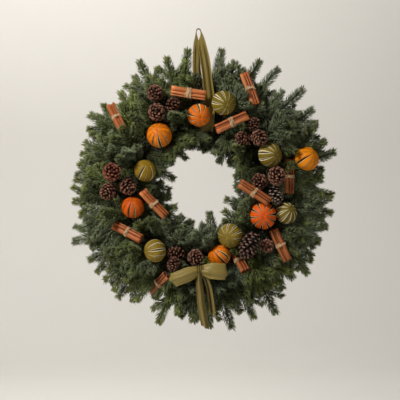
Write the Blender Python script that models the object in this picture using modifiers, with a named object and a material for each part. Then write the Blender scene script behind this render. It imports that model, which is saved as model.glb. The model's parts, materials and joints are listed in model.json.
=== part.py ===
"""A fir wreath with dried fruit, pine cones and cinnamon bundles, hung by a satin ribbon.

Metres, +Z up. Seen from the front, X runs to the right and Y runs to the back.
The origin is where the ribbon loop bears on what it hangs from.
Pieces are placed by x and z from the wreath's centre and by their depth in front of its back
plane, the flat surface that it rests against when it hangs.
"""

import math

import bmesh
import bpy
import numpy as np
from mathutils import Matrix, Vector
from mathutils.bvhtree import BVHTree

CENTRE_X = 0.0075
CENTRE_Z = -0.353
BACK_Y = 0.008
CLEARANCE = 0.0003

# The wire frame: two rings joined by short spokes
RING_RADII = (0.133, 0.171)
RING_DEPTH = 0.016
RING_WIRE = 0.00175
RING_SEGMENTS = 24
SPOKE_COUNT = 6
SPOKE_WIRE = 0.0015
STUB_WIRE = 0.0012
STUB_TURNS = range(-24, 25, 3)

# Fir: stems bound along the frame, with the twigs that grow from them
SECTORS = 6
STEM_REACH = 0.152
STEM_RADIUS = 0.007
STEM_DEPTH = RING_DEPTH + SPOKE_WIRE + CLEARANCE + STEM_RADIUS
STEM_END_GAP = 1.2
ROOT_END_GAP = 3.4
TWIG_TRIALS = 40
TWIG_ROOT = 0.0034
TWIG_TIP = 0.0022
TWIG_BUD = 0.007
FIRST_NEEDLE = 0.20
LAST_NEEDLE = 0.88
NEEDLE_LENGTH = 0.0215
NEEDLE_RADIUS = 0.0012
NEEDLE_SPACING = 0.0166
NEEDLE_ANGLE = math.radians(50)
TIP_NEEDLE_ANGLE = math.radians(32)
BACK_GAP = 0.002
SEED = 24

# Twigs whose tips make the outline: degrees clockwise from the top, and reach from the centre
OUTER_TIPS = [
    (8, 0.301), (16, 0.281), (24, 0.300), (32, 0.304), (45, 0.303), (53, 0.292), (60, 0.281),
    (67, 0.282), (74, 0.293), (81, 0.264), (92, 0.277), (100, 0.279), (107, 0.268), (113, 0.271),
    (121, 0.272), (128, 0.288), (139, 0.280), (149, 0.304), (158, 0.294), (168, 0.299),
    (177, 0.291), (184, 0.279), (191, 0.269), (198, 0.296), (210, 0.271), (218, 0.290),
    (227, 0.280), (238, 0.281), (248, 0.294), (255, 0.278), (265, 0.272), (274, 0.273),
    (283, 0.262), (292, 0.268), (304, 0.287), (312, 0.270), (320, 0.270), (328, 0.286),
    (335, 0.307), (345, 0.296), (354, 0.298),
]
INNER_TIPS = [
    (5, 0.103), (31, 0.077), (46, 0.088), (69, 0.083), (88, 0.080), (112, 0.062), (133, 0.072),
    (163, 0.060), (180, 0.080), (199, 0.078), (217, 0.077), (238, 0.073), (254, 0.080),
    (271, 0.076), (292, 0.072), (322, 0.100), (342, 0.107),
]
# The fill in front: tips in a row, their reach and their depth
FILL_ROWS = [
    (30, 0.246, 0.064),
    (26, 0.214, 0.094),
    (16, 0.158, 0.104),
    (18, 0.106, 0.088),
]
OUTER_DEPTH = (0.030, 0.048)
OUTER_BOW = 0.012
INNER_DEPTH = (0.034, 0.058)
# How far a twig's root lies behind its tip round the frame, in degrees
OUTER_LEAN = (-4, 9)
FILL_LEAN = (-6, 12)
INNER_LEAN = (-9, 4)
# How far a twig may be moved to clear its neighbours: degrees, share of reach, and depth
TIP_SHIFT = (-10, 10)
ROOT_SHIFT = (-6, 6)
SHORTENING = 0.10
DEPTH_SHIFT = (-0.026, 0.012)
# How evenly the fill is spread, and how much its reach, its depth and the needles vary
FILL_SPREAD = (-0.25, 0.25)
REACH_VARIATION = (0.96, 1.05)
DEPTH_VARIATION = (0.92, 1.06)
NEEDLE_VARIATION = (0.88, 1.10)

# Dried fruit: x, z, depth, radius, and where the end of its core points in x and z
FRUIT = {
    "orange_1": (-0.0914, 0.1167, 0.086, 0.0269, -0.16, 0.46),
    "orange_2": (-0.0067, 0.1597, 0.088, 0.0247, 0.18, -0.29),
    "orange_3": (-0.1479, -0.0372, 0.084, 0.0241, -0.02, 0.74),
    "orange_4": (0.0374, -0.1419, 0.064, 0.0247, 0.15, -0.88),
    "orange_5": (0.1310, -0.0553, 0.084, 0.0286, 0.00, 0.00),
    "orange_6": (0.2251, 0.0673, 0.074, 0.0260, 0.62, 0.45),
    "lime_1": (0.0464, 0.1858, 0.088, 0.0264, 0.28, -0.20),
    "lime_2": (-0.1219, 0.0411, 0.084, 0.0241, 0.33, 0.70),
    "lime_3": (-0.1005, -0.1303, 0.082, 0.0247, -0.89, -0.12),
    "lime_4": (0.0605, -0.0978, 0.081, 0.0264, -0.30, -0.11),
    "lime_5": (0.1813, -0.0497, 0.068, 0.0236, 0.47, 0.43),
    "lime_6": (0.1453, 0.0752, 0.086, 0.0262, 0.61, 0.00),
}
FRUIT_SLITS = 10
SLIT_HALF_WIDTH = math.radians(4.2)
SLIT_DEPTH = 0.20
FRUIT_HEIGHT = 0.94

# Pine cones: x, z, depth, radius, half length, and where the cone's tip points
CONES = {
    "cone_1": (-0.1928, 0.0375, 0.090, 0.0206, 0.0266, (0.10, 0.15, 1.0)),
    "cone_2": (-0.2010, -0.0020, 0.073, 0.0177, 0.0257, (-0.30, -0.50, 0.8)),
    "cone_3": (-0.1600, 0.0085, 0.085, 0.0188, 0.0268, (0.35, -0.35, 0.9)),
    "cone_4": (-0.0998, 0.2070, 0.080, 0.0181, 0.0251, (-0.10, 0.30, 1.0)),
    "cone_5": (-0.0968, 0.1660, 0.087, 0.0196, 0.0266, (0.00, 0.00, 1.0)),
    "cone_6": (-0.0638, 0.1823, 0.073, 0.0154, 0.0214, (0.40, 0.40, 0.8)),
    "cone_7": (0.1105, 0.1404, 0.077, 0.0136, 0.0196, (0.20, 0.50, 0.8)),
    "cone_8": (0.0879, 0.1110, 0.078, 0.0167, 0.0237, (-0.40, -0.20, 0.9)),
    "cone_9": (0.1216, 0.1114, 0.098, 0.0177, 0.0247, (0.20, -0.30, 1.0)),
    "cone_10": (0.1583, 0.0293, 0.104, 0.0198, 0.0268, (0.10, 0.30, 1.0)),
    "cone_11": (0.1233, 0.0181, 0.078, 0.0177, 0.0247, (-0.30, 0.10, 1.0)),
    "cone_12": (0.1577, -0.0082, 0.075, 0.0171, 0.0261, (0.15, -0.90, 0.4)),
    "cone_13": (0.1020, -0.1171, 0.098, 0.0213, 0.0343, (-0.45, -0.85, 0.25)),
    "cone_14": (0.1394, -0.1199, 0.074, 0.0156, 0.0216, (0.10, 0.00, -1.0)),
    "cone_15": (-0.0550, -0.1376, 0.069, 0.0156, 0.0226, (-0.90, 0.20, 0.5)),
    "cone_16": (-0.0140, -0.1449, 0.078, 0.0184, 0.0244, (0.20, 0.00, 1.0)),
    "cone_17": (-0.0605, -0.1575, 0.097, 0.0136, 0.0196, (-0.30, -0.60, 0.7)),
}
SCALE_COLUMNS = 8
SCALE_ROWS = 8
SCALE_HOLLOW = 0.60
SCALE_LIFT = 0.16

# Cinnamon bundles: x, z and depth of the middle, and the way that the quills run
CINNAMON = {
    "cinnamon_1": (-0.1835, 0.1570, 0.062, (0.38, -0.74, 0.56)),
    "cinnamon_2": (-0.0290, 0.2074, 0.090, (0.99, -0.15, 0.00)),
    "cinnamon_3": (0.1020, 0.2166, 0.082, (0.33, -0.91, 0.26)),
    "cinnamon_4": (0.0636, 0.1444, 0.091, (0.91, 0.42, -0.03)),
    "cinnamon_5": (0.1877, 0.0296, 0.063, (-0.01, -1.00, 0.03)),
    "cinnamon_6": (0.1117, -0.0057, 0.103, (0.84, -0.54, 0.08)),
    "cinnamon_7": (0.1689, -0.1180, 0.072, (0.42, -0.90, -0.11)),
    "cinnamon_8": (0.0803, -0.1516, 0.066, (0.34, -0.58, 0.74)),
    "cinnamon_9": (-0.1028, -0.0296, 0.089, (0.68, -0.73, -0.08)),
    "cinnamon_10": (-0.1596, -0.0900, 0.075, (0.79, -0.40, 0.46)),
    "cinnamon_11": (-0.0935, -0.2009, 0.062, (0.50, 0.51, 0.70)),
}
QUILL_LENGTH = 0.076
QUILL_RADIUS = 0.0054
QUILL_WALL = 0.0018
QUILL_SPACING = 0.0051
TIE_WIDTH = 0.006
TIE_THICKNESS = 0.0014
# Room kept round a bundle's quills and its tie
QUILL_ROOM = 0.0059
TIE_ROOM = 0.0079

# Ribbon: the cloth is gathered in where a strand is narrower
RIBBON_THICKNESS = 0.001
# Rods that stand for a strip: their radius, and how far apart they may lie
STRIP_ROOM = 0.0022
STRIP_LINE_SPACING = 0.0045
# Hanger, round one closed loop: x and z from the origin, depth, half width, and how far its
# width is turned, in degrees, from running across to running from front to back
HANGER_PATH = [
    (-0.0046, -0.0040, 0.0080, 0.0062, 90),
    (-0.0058, -0.0125, 0.0078, 0.0064, 76),
    (-0.0064, -0.0260, 0.0060, 0.0070, 42),
    (-0.0060, -0.0420, 0.0028, 0.0080, 12),
    (-0.0056, -0.0580, 0.0008, 0.0085, 0),
    (-0.0050, -0.0900, 0.0005, 0.0095, 0),
    (0.0075, -0.2080, 0.0005, 0.0150, 0),
    (0.0120, -0.2210, 0.0030, 0.0168, 0),
    (0.0130, -0.2259, 0.0120, 0.0180, 0),
    (0.0130, -0.2259, 0.0340, 0.0180, 0),
    (0.0135, -0.2244, 0.0440, 0.0180, 0),
    (0.0150, -0.2193, 0.0530, 0.0175, 0),
    (0.0175, -0.2100, 0.0600, 0.0165, 0),
    (0.0210, -0.1900, 0.0650, 0.0140, 0),
    (0.0245, -0.1600, 0.0680, 0.0118, 0),
    (0.0260, -0.1270, 0.0690, 0.0110, 0),
    (0.0220, -0.0980, 0.0680, 0.0108, 0),
    (0.0175, -0.0730, 0.0630, 0.0108, 0),
    (0.0135, -0.0540, 0.0500, 0.0100, 6),
    (0.0100, -0.0360, 0.0340, 0.0088, 22),
    (0.0076, -0.0220, 0.0210, 0.0076, 50),
    (0.0060, -0.0115, 0.0125, 0.0066, 76),
    (0.0046, -0.0040, 0.0080, 0.0062, 90),
    (0.0031, -0.0007, 0.0080, 0.0060, 90),
    (0.0000, 0.0005, 0.0080, 0.0060, 90),
    (-0.0031, -0.0007, 0.0080, 0.0060, 90),
]
# Bow: the knot, and each loop's far end, with its half width and half depth
KNOT = (-0.0043, -0.1700, 0.106)
KNOT_SIZE = (0.0075, 0.0095, 0.0085)
BOW_LOOPS = [
    (-0.0640, -0.1930, 0.105, 0.0150, 0.0115),
    (0.0520, -0.1745, 0.108, 0.0170, 0.0125),
]
BOW_LOOP_STEPS = 12
# Half width of a loop gathered in at the knot, and how soon it opens out
BOW_GATHERED = 0.006
BOW_FLARE = 1.8
# Tails: x, z, depth and half width at each station down from the knot
BOW_TAILS = [
    [(-0.0060, -0.1720, 0.104, 0.0050), (-0.0070, -0.1900, 0.110, 0.0070),
     (-0.0040, -0.2150, 0.113, 0.0090), (-0.0010, -0.2450, 0.108, 0.0098),
     (0.0030, -0.2700, 0.103, 0.0100), (0.0070, -0.2930, 0.100, 0.0095)],
    [(-0.0020, -0.1720, 0.104, 0.0050), (0.0080, -0.1880, 0.104, 0.0060),
     (0.0150, -0.2080, 0.101, 0.0075), (0.0195, -0.2350, 0.098, 0.0080),
     (0.0230, -0.2660, 0.095, 0.0080)],
]

COLOURS = {
    "wire": (0.05, 0.07, 0.05, 0.45, 1.0),
    "fir": (0.045, 0.11, 0.045, 0.60, 0.0),
    "orange": (0.80, 0.27, 0.04, 0.55, 0.0),
    "lime": (0.27, 0.28, 0.07, 0.55, 0.0),
    "cone": (0.14, 0.065, 0.04, 0.70, 0.0),
    "cinnamon": (0.45, 0.17, 0.07, 0.65, 0.0),
    "tie": (0.55, 0.43, 0.30, 0.85, 0.0),
    "ribbon": (0.26, 0.24, 0.11, 0.40, 0.0),
}


def spot(x, z, depth):
    """World place of a point given from the wreath's centre and its back plane."""
    return Vector((CENTRE_X + x, BACK_Y - depth, CENTRE_Z + z))


def polar(degrees, reach, depth):
    """World place of a point given clockwise from the top."""
    angle = math.radians(degrees)
    return spot(reach * math.sin(angle), reach * math.cos(angle), depth)


def heading(x, z, forward):
    """Unit direction given to the right, up and to the front."""
    return Vector((x, -forward, z)).normalized()


def material(name):
    found = bpy.data.materials.get(name)
    if found:
        return found
    red, green, blue, roughness, metallic = COLOURS[name]
    made = bpy.data.materials.new(name)
    made.use_nodes = True
    shader = made.node_tree.nodes["Principled BSDF"]
    shader.inputs["Base Color"].default_value = (red, green, blue, 1.0)
    shader.inputs["Roughness"].default_value = roughness
    shader.inputs["Metallic"].default_value = metallic
    made.diffuse_color = (red, green, blue, 1.0)
    return made


def add_object(name, mesh, colour, matrix=None):
    piece = bpy.data.objects.new(name, mesh)
    if not mesh.materials:
        mesh.materials.append(material(colour))
    if matrix is not None:
        piece.matrix_world = matrix
    WREATH.objects.link(piece)
    return piece


def to_mesh(name, shape):
    """Mesh of an object as its modifiers or its curve settings leave it, caps welded."""
    bpy.context.view_layer.update()
    graph = bpy.context.evaluated_depsgraph_get()
    mesh = bpy.data.meshes.new_from_object(shape.evaluated_get(graph))
    mesh.name = name
    joined = bmesh.new()
    joined.from_mesh(mesh)
    bmesh.ops.remove_doubles(joined, verts=joined.verts, dist=1e-6)
    bmesh.ops.recalc_face_normals(joined, faces=joined.faces)
    joined.to_mesh(mesh)
    joined.free()
    return mesh


def cone_mesh(name, sides, radius, tip_radius, length):
    """Cone or prism on its base at the origin, along +Z."""
    shape = bmesh.new()
    bmesh.ops.create_cone(shape, cap_ends=True, segments=sides, radius1=radius,
                          radius2=tip_radius, depth=length)
    bmesh.ops.translate(shape, verts=shape.verts, vec=(0, 0, length / 2))
    mesh = bpy.data.meshes.new(name)
    shape.to_mesh(mesh)
    shape.free()
    return mesh


def aimed(start, direction, roll=0.0):
    """Matrix that puts the origin at start and turns +Z along direction."""
    turn = direction.to_track_quat("Z", "Y").to_matrix().to_4x4()
    return Matrix.Translation(start) @ turn @ Matrix.Rotation(roll, 4, "Z")


def rod(name, start, end, radius, colour, sides):
    """Straight wire between two points."""
    mesh = cone_mesh(name, sides, radius, radius, (end - start).length)
    return add_object(name, mesh, colour, aimed(start, end - start))


def fuse(name, pieces, colour):
    """Join pieces in one solid and remove them."""
    base = pieces[0]
    group = bpy.data.collections.new(name + "_repeats")
    bpy.context.scene.collection.children.link(group)
    for piece in pieces[1:]:
        for home in list(piece.users_collection):
            home.objects.unlink(piece)
        group.objects.link(piece)
    union = base.modifiers.new("union", "BOOLEAN")
    union.operation = "UNION"
    union.operand_type = "COLLECTION"
    union.collection = group
    union.solver = "MANIFOLD"
    bpy.context.view_layer.update()
    graph = bpy.context.evaluated_depsgraph_get()
    mesh = bpy.data.meshes.new_from_object(base.evaluated_get(graph))
    mesh.transform(base.matrix_world)
    mesh.name = name
    mesh.materials.clear()
    for piece in pieces:
        bpy.data.objects.remove(piece)
    bpy.data.collections.remove(group)
    return add_object(name, mesh, colour)


class Clearance:
    """Straight round-ended rods that stand for the pieces, to keep foliage out of them."""

    def __init__(self):
        self.starts = []
        self.ends = []
        self.radii = []
        self.owners = []

    def add(self, start, end, radius, owner):
        self.starts.append(tuple(start))
        self.ends.append(tuple(end))
        self.radii.append(radius)
        self.owners.append(owner)

    def gap(self, start, end, radius, own):
        """Least gap from one rod to every rod that isn't its own or one of its twigs'."""
        twigs = own + "_twig"
        others = np.array([owner != own and not owner.startswith(twigs)
                           for owner in self.owners])
        starts = np.array(self.starts)[others]
        ends = np.array(self.ends)[others]
        radii = np.array(self.radii)[others]
        return float(np.min(rod_distances(start, end, starts, ends) - radii)) - radius


def rod_distances(start, end, starts, ends):
    """Distance from one straight line to each of many others."""
    start = np.array(start)
    along = np.array(end) - start
    others = ends - starts
    offset = start - starts
    own_square = max(float(along @ along), 1e-12)
    squares = np.maximum(np.sum(others * others, axis=1), 1e-12)
    cross = others @ along
    other_offset = np.sum(others * offset, axis=1)
    own_offset = offset @ along
    spread = np.maximum(own_square * squares - cross * cross, 1e-18)
    own_part = np.clip((cross * other_offset - own_offset * squares) / spread, 0, 1)
    other_part = np.clip((cross * own_part + other_offset) / squares, 0, 1)
    own_part = np.clip((cross * other_part - own_offset) / own_square, 0, 1)
    nearest = offset + np.outer(own_part, along) - others * other_part[:, None]
    return np.linalg.norm(nearest, axis=1)


def dried_fruit(name, x, z, depth, radius, pole_x, pole_z):
    """Whole fruit, slit from end to end so that it dries: a ball with a groove at each slit."""
    columns = 3 * FRUIT_SLITS
    ball = bmesh.new()
    bmesh.ops.create_uvsphere(ball, u_segments=columns, v_segments=5, radius=1.0)
    for vert in ball.verts:
        across = math.hypot(vert.co.x, vert.co.y)
        if across < 0.01:
            continue
        column = round(math.atan2(vert.co.y, vert.co.x) / (2 * math.pi) * columns)
        slit = round(column / 3)
        side = column - 3 * slit
        if abs(vert.co.z) > 0.5:
            side = 0
        elif side == 0:
            across *= 1 - SLIT_DEPTH
        angle = slit * 2 * math.pi / FRUIT_SLITS + side * SLIT_HALF_WIDTH
        vert.co = (across * math.cos(angle), across * math.sin(angle), vert.co.z)
    bmesh.ops.remove_doubles(ball, verts=ball.verts, dist=1e-5)
    bmesh.ops.scale(ball, verts=ball.verts, vec=(1, 1, FRUIT_HEIGHT))
    mesh = bpy.data.meshes.new(name)
    ball.to_mesh(mesh)
    ball.free()
    mesh.transform(Matrix.Scale(radius, 4))
    pole = heading(pole_x, pole_z, math.sqrt(max(1 - pole_x ** 2 - pole_z ** 2, 0.0)))
    centre = spot(x, z, depth)
    add_object(name, mesh, name.split("_")[0], aimed(centre, pole))
    KEEP_CLEAR.add(centre, centre, radius, name)


def pine_cone(name, x, z, depth, radius, half_length, tip):
    """Open cone: every second point of the ball stands out and up as the end of a scale."""
    centre = spot(x, z, depth)
    axis = heading(*tip)
    ball = bmesh.new()
    bmesh.ops.create_uvsphere(ball, u_segments=SCALE_COLUMNS, v_segments=SCALE_ROWS, radius=1.0)
    for vert in ball.verts:
        across = math.hypot(vert.co.x, vert.co.y)
        if across < 0.01:
            continue
        row = round(math.acos(max(-1.0, min(1.0, vert.co.z))) / math.pi * SCALE_ROWS)
        column = round(math.atan2(vert.co.y, vert.co.x) / (2 * math.pi) * SCALE_COLUMNS)
        if (row + column) % 2:
            vert.co.z = min(vert.co.z + SCALE_LIFT, 0.97)
            scale = math.sqrt(1 - vert.co.z ** 2) / across
        else:
            scale = SCALE_HOLLOW
        vert.co.x *= scale
        vert.co.y *= scale
    mesh = bpy.data.meshes.new(name)
    ball.to_mesh(mesh)
    ball.free()
    mesh.transform(Matrix.Diagonal((radius, radius, half_length, 1.0)))
    add_object(name, mesh, "cone", aimed(centre, axis))
    straight = axis * (half_length - radius)
    KEEP_CLEAR.add(centre - straight, centre + straight, radius, name)


def outline_mesh(name, outlines, half_thickness):
    """Flat outline, with holes, given thickness along Z."""
    curve = bpy.data.curves.new(name, "CURVE")
    curve.dimensions = "2D"
    curve.fill_mode = "BOTH"
    curve.extrude = half_thickness
    for outline in outlines:
        spline = curve.splines.new("POLY")
        spline.points.add(len(outline) - 1)
        spline.use_cyclic_u = True
        for point, place in zip(spline.points, outline):
            point.co = (place[0], place[1], 0.0, 1.0)
    shape = bpy.data.objects.new(name, curve)
    WREATH.objects.link(shape)
    mesh = to_mesh(name, shape)
    bpy.data.objects.remove(shape)
    return mesh


def quill_outline():
    """Curl of bark, open along its front."""
    outer = [math.radians(120 + 60 * step) for step in range(6)]
    inner = [math.radians(411 - 70.5 * step) for step in range(5)]
    bore = QUILL_RADIUS - QUILL_WALL
    return ([(QUILL_RADIUS * math.cos(turn), QUILL_RADIUS * math.sin(turn)) for turn in outer]
            + [(bore * math.cos(turn), bore * math.sin(turn)) for turn in inner])


def tie_outline(grow):
    """Six-sided band round two quills side by side."""
    side = QUILL_SPACING + QUILL_RADIUS + grow * 1.15
    shoulder = QUILL_SPACING + QUILL_RADIUS / 2 + grow * 0.58
    top = QUILL_RADIUS * math.sin(math.radians(60)) + grow
    return [(side, 0), (shoulder, top), (-shoulder, top),
            (-side, 0), (-shoulder, -top), (shoulder, -top)]


def cinnamon_bundle(name, x, z, depth, run):
    """Two quills side by side, and the raffia tied round their middle."""
    centre = spot(x, z, depth)
    axis = heading(*run)
    across = axis.cross(Vector((0, -1, 0))).normalized()
    front = axis.cross(across)
    frame = Matrix.Translation(centre) @ Matrix((across, front, axis)).transposed().to_4x4()
    if front.y > 0:
        frame = frame @ Matrix.Rotation(math.pi, 4, "Z")
    quill = outline_mesh(name + "_quill", [quill_outline()], QUILL_LENGTH / 2)
    pieces = []
    for side in (-1, 1):
        shift = Matrix.Translation((side * QUILL_SPACING, 0, 0))
        pieces.append(add_object(name + "_quill", quill, "cinnamon", frame @ shift))
        line = axis * QUILL_LENGTH / 2
        middle = centre + across * side * QUILL_SPACING
        KEEP_CLEAR.add(middle - line, middle + line, QUILL_ROOM, name)
    fuse(name, pieces, "cinnamon")
    band = outline_mesh(name + "_tie",
                        [tie_outline(CLEARANCE), tie_outline(CLEARANCE + TIE_THICKNESS)],
                        TIE_WIDTH / 2)
    add_object(name + "_tie", band, "tie", frame)
    side = across * QUILL_SPACING
    KEEP_CLEAR.add(centre - side, centre + side, TIE_ROOM, name)


def strip_mesh(name, stations, closed):
    """Cloth strip through stations, each a middle, a direction across and a half width."""
    count = len(stations)
    grid = bmesh.new()
    bmesh.ops.create_grid(grid, x_segments=count if closed else count - 1, y_segments=1, size=1)
    steps = count if closed else count - 1
    for vert in grid.verts:
        step = round((vert.co.x + 1) / 2 * steps) % count
        middle, across, half_width = stations[step]
        vert.co = middle + across * half_width * vert.co.y
    bmesh.ops.remove_doubles(grid, verts=grid.verts, dist=1e-6)
    mesh = bpy.data.meshes.new(name)
    grid.to_mesh(mesh)
    grid.free()
    shape = bpy.data.objects.new(name, mesh)
    WREATH.objects.link(shape)
    skin = shape.modifiers.new("thickness", "SOLIDIFY")
    skin.thickness = RIBBON_THICKNESS
    skin.offset = 0.0
    solid = to_mesh(name, shape)
    bpy.data.objects.remove(shape)
    return solid


def keep_clear_of_strip(stations, closed, owner):
    """Rods side by side along a strip, close enough that no needle slips between."""
    count = len(stations)
    for step in range(count if closed else count - 1):
        here, next_one = stations[step], stations[(step + 1) % count]
        widest = 2 * max(here[2], next_one[2])
        lines = max(2, math.ceil(widest / STRIP_LINE_SPACING) + 1)
        for line in range(lines):
            part = 2 * line / (lines - 1) - 1
            KEEP_CLEAR.add(here[0] + here[1] * here[2] * part,
                           next_one[0] + next_one[1] * next_one[2] * part, STRIP_ROOM, owner)


def ribbon_hanger():
    """Closed loop down the back, under the inner ring and up the front."""
    middles = [Vector((x, BACK_Y - depth, z)) for x, z, depth, _, _ in HANGER_PATH]
    stations = []
    for number, (_, _, _, half_width, turn) in enumerate(HANGER_PATH):
        after = middles[(number + 1) % len(middles)]
        along = (after - middles[number - 1]).normalized()
        turn = math.radians(turn)
        across = Vector((math.cos(turn), -math.sin(turn), 0))
        across = (across - along * across.dot(along)).normalized()
        stations.append((middles[number], across, half_width))
    mesh = strip_mesh("ribbon_hanger", stations, True)
    add_object("ribbon_hanger", mesh, "ribbon")
    keep_clear_of_strip(stations, True, "ribbon_hanger")


def ribbon_bow():
    """Two loops and two tails of the same ribbon, held by its knot."""
    knot = spot(*KNOT)
    ball = bmesh.new()
    bmesh.ops.create_uvsphere(ball, u_segments=6, v_segments=4, radius=1.0)
    bmesh.ops.scale(ball, verts=ball.verts, vec=KNOT_SIZE)
    ball_mesh = bpy.data.meshes.new("knot")
    ball.to_mesh(ball_mesh)
    ball.free()
    pieces = [add_object("knot", ball_mesh, "ribbon", Matrix.Translation(knot))]
    KEEP_CLEAR.add(knot, knot, max(KNOT_SIZE), "ribbon_bow")
    for x, z, depth, half_width, half_depth in BOW_LOOPS:
        reach = spot(x, z, depth) - knot
        across = reach.cross(Vector((0, 1, 0))).normalized()
        stations = []
        for step in range(BOW_LOOP_STEPS):
            turn = 2 * math.pi * step / BOW_LOOP_STEPS
            out = (1 - math.cos(turn)) / 2
            middle = knot + reach * out + Vector((0, half_depth * math.sin(turn), 0))
            width = BOW_GATHERED + (half_width - BOW_GATHERED) * min(1.0, out * BOW_FLARE)
            stations.append((middle, across, width))
        mesh = strip_mesh("bow_loop", stations, True)
        pieces.append(add_object("bow_loop", mesh, "ribbon"))
        keep_clear_of_strip(stations, True, "ribbon_bow")
    for tail in BOW_TAILS:
        across = Vector((1, 0, 0.25)).normalized()
        stations = [(spot(x, z, depth), across, half_width) for x, z, depth, half_width in tail]
        mesh = strip_mesh("bow_tail", stations, False)
        pieces.append(add_object("bow_tail", mesh, "ribbon"))
        keep_clear_of_strip(stations, False, "ribbon_bow")
    fuse("ribbon_bow", pieces, "ribbon")


def near_surface(pieces, start, direction, radius):
    """How far a wire of this radius can run from start before it meets one of the pieces."""
    graph = bpy.context.evaluated_depsgraph_get()
    side = direction.orthogonal().normalized()
    lift = direction.cross(side)
    rays = [Vector()]
    for number in range(12):
        turn = number * math.pi / 6
        rays.append((side * math.cos(turn) + lift * math.sin(turn)) * radius)
    runs = []
    for piece in pieces:
        tree = BVHTree.FromObject(piece, graph)
        to_piece = piece.matrix_world.inverted()
        for shift in rays:
            begin = to_piece @ (start + shift)
            end = to_piece @ (start + shift + direction)
            hit = tree.ray_cast(begin, (end - begin).normalized())
            if hit[0] is not None:
                runs.append(hit[3])
    return min(runs)


def stub_start(owner, target):
    """Place on a ring, the nearer one if it can be, from which a stub wire runs clear."""
    x, z = target.x - CENTRE_X, target.z - CENTRE_Z
    angle = math.degrees(math.atan2(x, z))
    reach = math.hypot(x, z)
    choices = []
    for ring in RING_RADII:
        for turn in STUB_TURNS:
            start = polar(angle + turn, ring, RING_DEPTH)
            gap = KEEP_CLEAR.gap(start, target, STUB_WIRE + CLEARANCE, owner)
            cost = abs(ring - reach) + 0.001 * abs(turn)
            choices.append((gap < CLEARANCE, cost, tuple(start)))
    return min(choices)[2]


def stub_wire(owner, target, *held):
    """Wire from its ring up to the back of what it holds."""
    start = Vector(stub_start(owner, target))
    KEEP_CLEAR.add(start, target, STUB_WIRE + CLEARANCE, owner)
    direction = (target - start).normalized()
    bpy.context.view_layer.update()
    pieces = [bpy.data.objects[name] for name in held]
    run = near_surface(pieces, start, direction, STUB_WIRE + CLEARANCE) - CLEARANCE
    return rod("stub", start, start + direction * run, STUB_WIRE, "wire", 3)


def wire_frame():
    """Two rings, their spokes, and the twisted wires that hold the decorations."""
    pieces = []
    for ring in RING_RADII:
        bpy.ops.mesh.primitive_torus_add(
            major_segments=RING_SEGMENTS, minor_segments=4, major_radius=ring,
            minor_radius=RING_WIRE, location=spot(0, 0, RING_DEPTH),
            rotation=(math.pi / 2, 0, 0))
        pieces.append(bpy.context.object)
    for name, (x, z, depth, *_) in {**FRUIT, **CONES}.items():
        pieces.append(stub_wire(name, spot(x, z, depth), name))
    for name, (x, z, depth, _) in CINNAMON.items():
        pieces.append(stub_wire(name, spot(x, z, depth), name, name + "_tie"))
    pieces.append(stub_wire("ribbon_bow", spot(*KNOT), "ribbon_bow"))
    for step in range(SPOKE_COUNT):
        turn = (step + 0.5) * 360 / SPOKE_COUNT
        ends = [polar(turn, ring, RING_DEPTH) for ring in RING_RADII]
        pieces.append(rod("spoke", *ends, SPOKE_WIRE, "wire", 6))
        KEEP_CLEAR.add(*ends, SPOKE_WIRE, "wire_frame")
    for ring in RING_RADII:
        for step in range(RING_SEGMENTS):
            turn = 360 / RING_SEGMENTS
            KEEP_CLEAR.add(polar(step * turn, ring, RING_DEPTH),
                           polar((step + 1) * turn, ring, RING_DEPTH), RING_WIRE, "wire_frame")
    fuse("wire_frame", pieces, "wire")


def bent_twig(name, root, middle, tip):
    """Slim four-sided core with a pointed bud, bent at its middle."""
    run = tip - root
    straight = run.length - TWIG_BUD
    shape = bmesh.new()
    bmesh.ops.create_cone(shape, cap_ends=True, segments=4, radius1=TWIG_ROOT,
                          radius2=TWIG_TIP, depth=straight)
    bmesh.ops.translate(shape, verts=shape.verts, vec=(0, 0, straight / 2))
    end = [face for face in shape.faces if face.normal.z > 0.9]
    bud = bmesh.ops.poke(shape, faces=end)["verts"][0]
    bud.co = (0, 0, run.length)
    frame = aimed(root, run)
    bow = frame.inverted().to_3x3() @ (middle - (root + tip) / 2)
    if bow.length > CLEARANCE:
        half = run.length / 2
        bmesh.ops.bisect_plane(shape, geom=shape.verts[:] + shape.edges[:] + shape.faces[:],
                               plane_co=(0, 0, half), plane_no=(0, 0, 1))
        for vert in shape.verts:
            if abs(vert.co.z - half) < 1e-5:
                vert.co += bow
    mesh = bpy.data.meshes.new(name)
    shape.to_mesh(mesh)
    shape.free()
    return add_object(name, mesh, "fir", frame)


def twig_wishes(chance):
    """Every twig that the wreath would have: root angle, tip, depth and bow."""
    wishes = []
    for angle, reach in OUTER_TIPS:
        wishes.append((angle - chance.uniform(*OUTER_LEAN), angle, reach,
                       chance.uniform(*OUTER_DEPTH), OUTER_BOW))
    for angle, reach in INNER_TIPS:
        wishes.append((angle - chance.uniform(*INNER_LEAN), angle, reach,
                       chance.uniform(*INNER_DEPTH), 0.0))
    for count, reach, depth in FILL_ROWS:
        for step in range(count):
            angle = (step + 0.5 + chance.uniform(*FILL_SPREAD)) * 360 / count
            wishes.append((angle - chance.uniform(*FILL_LEAN), angle,
                           reach * chance.uniform(*REACH_VARIATION),
                           depth * chance.uniform(*DEPTH_VARIATION), 0.0))
    return wishes


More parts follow.
